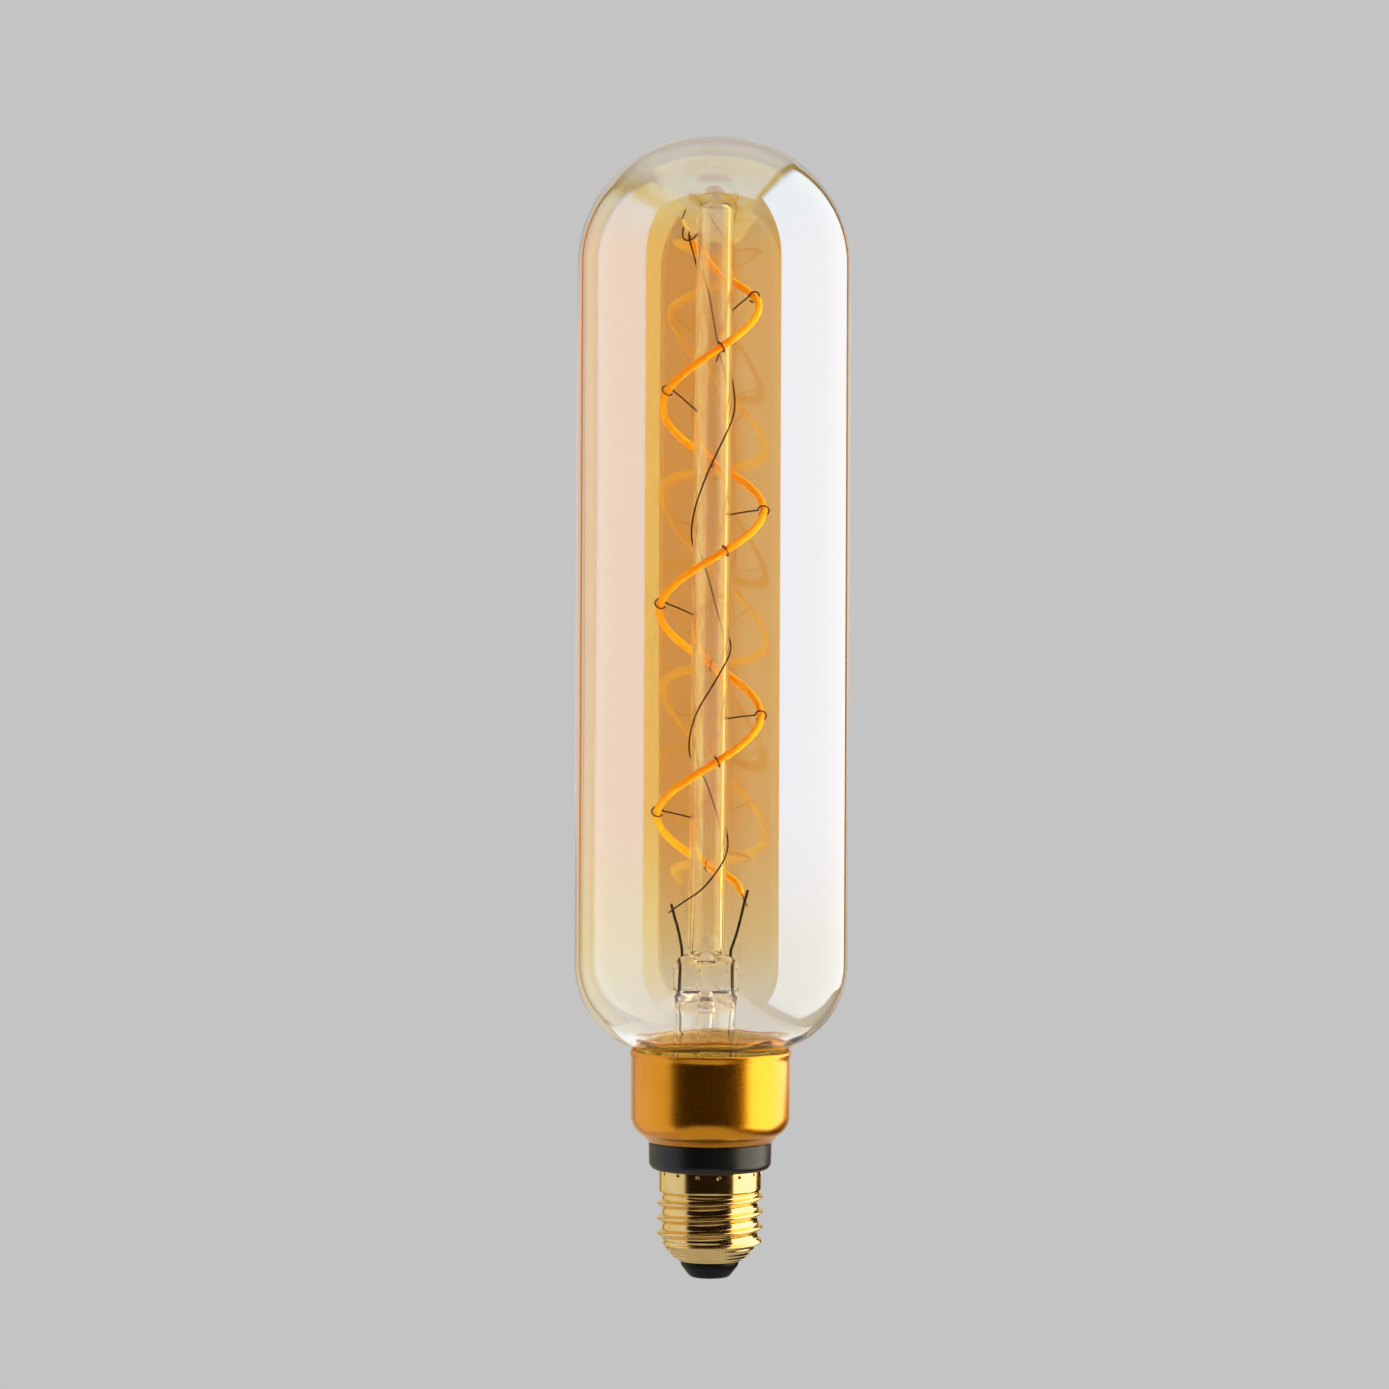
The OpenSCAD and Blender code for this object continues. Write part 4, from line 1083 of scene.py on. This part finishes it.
def collar():
    """Spun cup: curled rim, a soft bead under it, straight wall, crease and bowl."""
    angles = turn_angles(256)
    out = 0.42
    rim = (arc(COLLAR_R + out - 0.5, COLLAR_TOP - 0.5, 0.5, 100, -30, 10)
           + [(COLLAR_R + out - 0.12, COLLAR_TOP - 1.0), (COLLAR_R + 0.12, COLLAR_TOP - 1.45),
              (COLLAR_R + 0.02, COLLAR_TOP - 1.8), (COLLAR_R, COLLAR_TOP - 2.3)])
    wall = [(COLLAR_R, z) for z in np.linspace(COLLAR_TOP - 3, COLLAR_BEND + 0.3, 20)]
    bend = COLLAR_BEND_R
    bowl = arc(COLLAR_R - bend, COLLAR_BEND, bend, 0, -COLLAR_SWEEP, 26)
    foot = [(HOUSING_R + 0.35, COLLAR_BOTTOM + 0.28), (HOUSING_R + 0.05, COLLAR_BOTTOM),
            (HOUSING_R - 0.6, COLLAR_BOTTOM), (MOUTH_R, COLLAR_BOTTOM),
            (MOUTH_R, COLLAR_BOTTOM + 0.6), (HOUSING_R - 0.5, COLLAR_BOTTOM + 0.7)]
    inside = (arc(COLLAR_R - bend, COLLAR_BEND, bend - COLLAR_SHEET, -COLLAR_SWEEP, 0, 18)
              + [(COLLAR_R - COLLAR_SHEET, z)
                 for z in np.linspace(COLLAR_BEND + 1, COLLAR_TOP - 1.0, 12)]
              + [(COLLAR_R - COLLAR_SHEET + 0.12, COLLAR_TOP - 0.5)])
    lift = waves(angles, (0.05, 7, 1), (0.04, 13, 0), (0.025, 29, 2)) - 0.1
    dent = waves(angles, (0.03, 17, 0.7)) - 0.03
    skin = Skin()
    skin.rings(wavy_rings(rim + wall + bowl + foot + inside, angles, COLLAR_TOP - 3.2, 2.2,
                          lift, dent), close=True)
    skin.flip()
    piece("collar_cup_fine", skin, "gold", sharp=55)


def neck_cement():
    """Ring of cement that wets the neck, with an uneven top just under the collar's rim."""
    angles = turn_angles(192)
    foot_z = 45
    neck_r = NECK_R - 0.05
    wall_r = COLLAR_R - COLLAR_SHEET - 0.03
    outline = ([(neck_r, foot_z), (wall_r, foot_z)]
               + [(wall_r, z) for z in np.linspace(foot_z + 1, COLLAR_TOP - 1.2, 8)]
               + [(wall_r - 0.1, COLLAR_TOP - 0.95), (wall_r - 0.3, COLLAR_TOP - 0.85),
                  (neck_r + 0.3, COLLAR_TOP - 0.8), (neck_r + 0.12, COLLAR_TOP - 0.9)]
               + [(neck_r, z) for z in np.linspace(COLLAR_TOP - 1.5, foot_z + 1, 8)])
    lift = waves(angles, (0.12, 5, 1), (0.08, 11, 0), (0.05, 23, 2)) - 0.1
    skin = Skin()
    skin.rings(wavy_rings(outline, angles, COLLAR_TOP - 2, 1.2, lift), close=True)
    piece("neck_cement_fine", skin, "cement", sharp=60)


def housing():
    """The black ring that shows, its spigot in the collar and its sleeve in the shell."""
    corner = 1.9
    draft = 0.1
    sleeve_r = ROOT_R - SHELL_SHEET - 0.1
    spigot_r = MOUTH_R - 0.1
    outline = ([(HOUSING_BORE, SLEEVE_BOTTOM + 0.3), (HOUSING_BORE + 0.3, SLEEVE_BOTTOM),
                (sleeve_r - 0.3, SLEEVE_BOTTOM), (sleeve_r, SLEEVE_BOTTOM + 0.3),
                (sleeve_r, 20), (sleeve_r, HOUSING_BOTTOM - 0.3),
                (sleeve_r + 0.2, HOUSING_BOTTOM), (12.0, HOUSING_BOTTOM),
                (HOUSING_R - draft - corner - 0.1, HOUSING_BOTTOM)]
               + arc(HOUSING_R - draft - corner, HOUSING_BOTTOM + corner, corner, -85, 0, 12)
               + [(HOUSING_R - 0.06, 30), (HOUSING_R - 0.03, 32),
                  (HOUSING_R, COLLAR_BOTTOM - 0.15), (HOUSING_R - 0.12, COLLAR_BOTTOM - 0.03),
                  (MOUTH_R, COLLAR_BOTTOM - 0.03), (spigot_r, COLLAR_BOTTOM + 0.1),
                  (spigot_r, SPIGOT_TOP - 0.25), (spigot_r - 0.2, SPIGOT_TOP),
                  (SPIGOT_BORE + 0.2, SPIGOT_TOP), (SPIGOT_BORE, SPIGOT_TOP - 0.25),
                  (SPIGOT_BORE, COLLAR_BOTTOM - 2.8), (SPIGOT_BORE - 0.2, COLLAR_BOTTOM - 3),
                  (HOUSING_BORE + 0.2, COLLAR_BOTTOM - 3), (HOUSING_BORE, COLLAR_BOTTOM - 3.2),
                  (HOUSING_BORE, 20)])
    turned_piece("driver_housing_fine", outline, 192, "black_plastic", 40)


def thread_fade(z):
    """How far the thread stands out at a height, as a share of its depth."""
    return (smooth((z - THREAD_BOTTOM) / THREAD_FADE_IN)
            * smooth((THREAD_TOP - z) / THREAD_FADE_OUT))


def thread_root(z):
    """Radius at the roots, drawn in towards the rounded end, with the steps of its drawing."""
    step = DRAW_STEP * math.sin(2 * math.pi * (z - 7) / DRAW_PITCH) * smooth((10.5 - z) / 2)
    return (ROOT_R - NOSE_IN * (1 - smooth((z - NOSE_FOOT) / NOSE_RISE)) + step
            + (SHELL_NECK_R - ROOT_R) * smooth((z - THREAD_TOP) / THREAD_FADE_OUT + 1))


def shell_outer(angles, z):
    """Radius of the shell's outside at a height between the rounded end and the top."""
    if z >= THREAD_TOP:
        return np.full(len(angles), SHELL_NECK_R)
    wave = 0.5 + 0.5 * np.cos(2 * math.pi * z / THREAD_PITCH - angles + math.radians(CREST_PHASE))
    return thread_root(z) + (CREST_R - ROOT_R) * thread_fade(z) * wave ** CREST_POWER


DIMPLE_COUNT = 15
DIMPLE_FIRST = -104
DIMPLE_Z = 25.4
DIMPLE_R = 0.5
DIMPLE_DEPTH = 0.42


def screw_shell():
    """Thread, plain neck with its ring of punch marks, and the stepped rounded end."""
    dimple_at = np.radians(DIMPLE_FIRST + 360 / DIMPLE_COUNT * np.arange(DIMPLE_COUNT))
    near = [a + math.radians(d) for a in dimple_at for d in (-2.4, -1.6, -0.8, 0, 0.8, 1.6, 2.4)]
    angles = np.sort(np.mod(np.concatenate([turn_angles(240), near]), 2 * math.pi))
    # Nearly equal angles would make slivers
    angles = angles[np.concatenate([[True], np.diff(angles) > 1e-3])]
    end = [(7.2, SHELL_BOTTOM), (7.6, 4.22), (8.0, 4.36), (8.15, 4.6), (8.25, 4.82), (8.6, 4.92),
           (9.0, 5.08), (9.2, 5.3), (9.25, 5.55), (9.4, 5.75), (9.75, 5.88), (10.0, 6.1),
           (10.1, 6.35), (10.2, 6.6), (10.5, 6.8)]
    # The marks dip a little at the front
    dimples = [(a, DIMPLE_Z + 0.5 * smooth(abs(math.degrees(a) + 90) / 90)) for a in dimple_at]
    heights = np.concatenate([np.linspace(THREAD_BOTTOM, THREAD_TOP, 120),
                              np.linspace(THREAD_TOP, DIMPLE_Z - 0.7, 8)[1:],
                              np.linspace(DIMPLE_Z - 0.6, HOUSING_BOTTOM - 0.04, 18)])
    thread = []
    for z in heights:
        r = shell_outer(angles, z)
        for a, dimple_z in dimples:
            turn = np.mod(angles - a + math.pi, 2 * math.pi) - math.pi
            reach = np.hypot(turn * SHELL_NECK_R, z - dimple_z) / DIMPLE_R
            r = r - DIMPLE_DEPTH * np.clip(1 - reach ** 2, 0, 1) ** 1.5
        thread.append((r, z))
    inner = [(12.25, HOUSING_BOTTOM - 0.04), (ROOT_R - SHELL_SHEET, HOUSING_BOTTOM - 1.5),
             (ROOT_R - SHELL_SHEET, 22), (ROOT_R - SHELL_SHEET, 15), (ROOT_R - SHELL_SHEET, 10.6),
             (11.3, 9.5), (11.0, 8.6), (10.45, 7.5), (10.05, 7), (9.6, 6.4), (9.05, 5.75),
             (8.4, 5.2), (7.7, 4.8), (7.2, 4.6)]
    skin = Skin()
    skin.rings([circle(r, z, angles) for r, z in end + thread + inner], close=True)
    piece("screw_shell_fine", skin, "brass", sharp=50)


def base_insulator():
    outline = [(1.25, 1.25), (1.5, 1.2), (CONTACT_R - 0.1, 1.2), (CONTACT_R + 0.02, 1.05),
               (CONTACT_R + 0.05, 0.3), (CONTACT_R + 0.2, 0.18), (4.1, 0.15), (4.45, 0.22),
               (4.8, 0.4), (5.1, 0.65), (5.35, 0.95), (6.0, 1.8), (6.75, 2.75), (7.0, 3.2),
               (7.1, 3.6), (7.12, SHELL_BOTTOM), (7.12, 4.75), (7.6, 4.88), (8.2, 5.3), (8.3, 5.45),
               (8.3, 6.5), (8.2, 6.6), (1.5, 6.6), (1.25, 6.4)]
    turned_piece("base_insulator_fine", outline, 160, "black_insulator", 30)


def centre_contact():
    outline = ([(0, 0.0), (1.2, 0.0), (2.6, 0.0)] + arc(CONTACT_R - 0.35, 0.35, 0.35, -90, 0, 6)
               + [(CONTACT_R, 0.9), (CONTACT_R - 0.12, 1.08), (1.3, 1.1), (1.15, 1.3), (1.15, 7.1),
                  (0.95, 7.38), (0, 7.4)])
    turned_piece("centre_contact_fine", outline, 96, "nickel", 40)


# ---- stage, light and camera

# Brightness of the plain grey, looked at and through glass
BACKGROUND = 0.552
THROUGH_GLASS = 0.68
# What the lamp mirrors outside the panels, at its surface and from inside the glass
STUDIO_DARK = (0.014, 0.008, 0.004)
STUDIO_DEEP = (0.42, 0.38, 0.33)
# Brightness and tint of the panels
RIGHT_LIGHT, RIGHT_TINT = 2.8, (1.06, 0.97, 0.80)
LEFT_LIGHT, LEFT_TINT = 0.78, (1.0, 1.03, 1.13)
REAR_LIGHT, REAR_TINT = 0.72, (1.1, 1.02, 0.72)
TOP_LIGHT, TOP_TINT = 0.62, (1.08, 0.95, 0.87)
BOTTOM_LIGHT, BOTTOM_TINT = 0.5, (1, 1, 1)
BACK_LIGHT, BACK_TINT = 0.62, (1.1, 0.97, 0.78)
# Gain for light that an opaque surface scatters
DIFFUSE_GAIN = 4.5
# Glass surfaces passed, and the gain of the table's light beyond them
TABLE_DEEP = (1, 4.0)


def surroundings(t, direct_depth):
    """Colour of the plain surroundings: the grey of the background where it is looked at,
    a little lighter through glass, and in reflections a dark studio, less dark for light
    that has been inside the glass."""
    passed = t.source("LightPath", "Transmission Depth")
    grey = t.span(passed, 0, 1, BACKGROUND, THROUGH_GLASS)
    studio = t.blend(t.span(passed, 1, 2), STUDIO_DARK, STUDIO_DEEP)
    return t.blend(t.met_lamp(direct_depth), grey, studio)


def world():
    made = bpy.data.worlds.new("studio")
    t = Nodes(made, clear=False)
    t.put(surroundings(t, 1), t.tree.nodes["Background"].inputs["Color"])
    made.cycles.sampling_method = "NONE"
    scene.world = made


def sheet(name, corners, t, factor, first, second):
    """A flat stage object that mixes two shaders. It casts no shadow and isn't sampled."""
    mixed = t.add("MixShader", {0: factor, 1: first.outputs[0], 2: second.outputs[0]})
    t.add("OutputMaterial", {"Surface": mixed.outputs[0]})
    t.owner.cycles.emission_sampling = "NONE"
    mesh = bpy.data.meshes.new(name)
    mesh.from_pydata(corners, [], [tuple(range(len(corners)))])
    mesh.materials.append(t.owner)
    ob = bpy.data.objects.new(name, mesh)
    scene.collection.objects.link(ob)
    ob.visible_shadow = False
    return ob


def level(z, west, east, south, north):
    return [(west, south, z), (east, south, z), (east, north, z), (west, north, z)]


def floor():
    """A plain pale floor in the background's grey, so that no edge shows behind the lamp.
    It is seen from above only."""
    t = Nodes(bpy.data.materials.new("floor_grey"))
    hidden = t.math("MAXIMUM", t.met_lamp(0), t.source("NewGeometry", "Backfacing"))
    glow = t.add("Emission", {"Color": surroundings(t, 0)})
    reach = 4.0
    below = -0.0004
    sheet("floor", level(below, -reach, reach, -reach, reach), t, hidden, glow,
          t.add("BsdfTransparent", {}))


def panel(name, corners, ease_from, radiance, tint, deep=None):
    """A softbox that lights the lamp and shows in its reflections, not straight to the view.
    ease_from has the widths of its soft edges: near the low and high end of X, Y and Z, in
    metres. deep is a number of glass surfaces passed and the gain for light beyond it."""
    t = Nodes(bpy.data.materials.new(name))
    strength = t.span(t.source("LightPath", "Diffuse Depth"), 0, 1, radiance,
                      radiance * DIFFUSE_GAIN)
    if deep:
        surfaces, gain = deep
        beyond = t.span(t.source("LightPath", "Transmission Depth"), surfaces, surfaces + 1,
                        1.0, gain)
        strength = t.math("MULTIPLY", strength, beyond)
    share = t.met_lamp(0)
    for axis, widths in enumerate(ease_from):
        low = min(c[axis] for c in corners)
        high = max(c[axis] for c in corners)
        if low == high:
            continue
        for edge, full in ((low, low + widths[0]), (high, high - widths[1])):
            ease = t.span(t.along(axis), edge, full, interpolation_type="SMOOTHSTEP")
            share = t.math("MULTIPLY", share, ease)
    ob = sheet(name, corners, t, share, t.add("BsdfTransparent", {}),
               t.add("Emission", {"Color": tint, "Strength": strength}))
    ob.visible_camera = False


def lights():
    """A tent of panels, open to the front: right, left, top, bottom and backdrop. Each one is
    placed by the angles that it covers as seen from the dome and from the shoulder."""
    dome = 0.262
    shoulder = 0.066
    sharp = (0.001, 0.001)
    soft = (0.03, 0.03)

    # The right panel's rear foot is cut off
    x = 0.14
    low, high = shoulder - 0.9 * x, dome + 1.4 * x
    front, back = -0.78 * x, 1.35 * x
    panel("softbox_right", [(x, front, low), (x, 0.04, low), (x, 0.1, 0.025),
                            (x, back, 0.035), (x, back, high), (x, front, high)],
          (sharp, (0.005, 0.03), (0.012, 0.035)), RIGHT_LIGHT, RIGHT_TINT)

    # Two panels of one height at the left, their fronts and backs in shares of the distance
    x = 0.33
    low, high = shoulder - 1.157 * x, dome + 1.08 * x
    for name, x, front, back, light, tint in (
            ("softbox_left", 0.33, -0.68, 0.40, LEFT_LIGHT, LEFT_TINT),
            ("left_rear", 0.36, 0.1, 1.235, REAR_LIGHT, REAR_TINT)):
        panel(name, [(-x, front * x, low), (-x, back * x, low), (-x, back * x, high),
                     (-x, front * x, high)],
              (sharp, (0.016, 0.016), (0.02, 0.12)), light, tint)

    d = 0.7
    bottom, top = shoulder - 1.157 * d, dome + 1.38 * d
    east, north = 0.875 * d, 2.1 * d
    panel("ceiling", level(top, -1.5 * d, east, -0.83 * d, north),
          ((0.6, 0.04), soft, sharp), TOP_LIGHT, TOP_TINT)
    panel("table", level(bottom, -1.15 * d, east, -2.6 * d, north),
          (soft, soft, sharp), BOTTOM_LIGHT, BOTTOM_TINT, TABLE_DEEP)
    west, east = -1.35 * d, 0.95 * d
    panel("backdrop", [(west, north, bottom), (east, north, bottom), (east, north, top),
                       (west, north, top)], (soft, sharp, soft), BACK_LIGHT, BACK_TINT)


VIEW_DISTANCE = 1.0
VIEW_WIDTH = 0.3388
VIEW_X = -0.0043
VIEW_Z = 0.1421
LAMP_LEAN = 0.26
SENSOR_MM = 36


def camera():
    """Level view from the front, with the lamp leaning a quarter of a degree."""
    data = bpy.data.cameras.new("view")
    data.sensor_width = SENSOR_MM
    data.lens = SENSOR_MM * VIEW_DISTANCE / VIEW_WIDTH
    data.clip_start = 0.05
    data.clip_end = 50
    ob = bpy.data.objects.new("view", data)
    ob.location = (VIEW_X, -VIEW_DISTANCE, VIEW_Z)
    ob.rotation_mode = "XYZ"
    c, s = math.cos(math.radians(LAMP_LEAN)), math.sin(math.radians(LAMP_LEAN))
    ob.rotation_euler = Matrix(((c, -s, 0), (0, 0, -1), (s, c, 0))).to_euler()
    scene.collection.objects.link(ob)
    scene.camera = ob


# Scene brightness, and how bright it is shown, above the straight part of the tone curve
TONE_WHITE = 3.0
TONE_SHOULDER = [(0.2, 0.2), (0.4, 0.4), (0.552, 0.552), (0.65, 0.64), (0.8, 0.745), (1.0, 0.84),
                 (1.3, 0.915), (1.8, 0.965)]


def colour_management():
    scene.view_settings.view_transform = "Standard"
    scene.view_settings.look = "None"
    scene.view_settings.use_curve_mapping = True
    curves = scene.view_settings.curve_mapping
    curves.white_level = (TONE_WHITE,) * 3
    tone = curves.curves[3]
    tone.points[0].location = (0, 0)
    tone.points[1].location = (1, 1)
    for bright, shown in TONE_SHOULDER:
        tone.points.new(bright / TONE_WHITE, shown)
    curves.update()


GLASS_BOUNCES = 28
MIRROR_BOUNCES = 8


def light_paths():
    scene.cycles.max_bounces = GLASS_BOUNCES
    scene.cycles.transmission_bounces = GLASS_BOUNCES
    scene.cycles.glossy_bounces = MIRROR_BOUNCES


# ---- build

camera()
colour_management()
light_paths()
world()
floor()
lights()

dress_cad_nodes()
envelope()
glass_mount()
leads()
filament()
filament_ends()
collar()
neck_cement()
housing()
screw_shell()
base_insulator()
centre_contact()
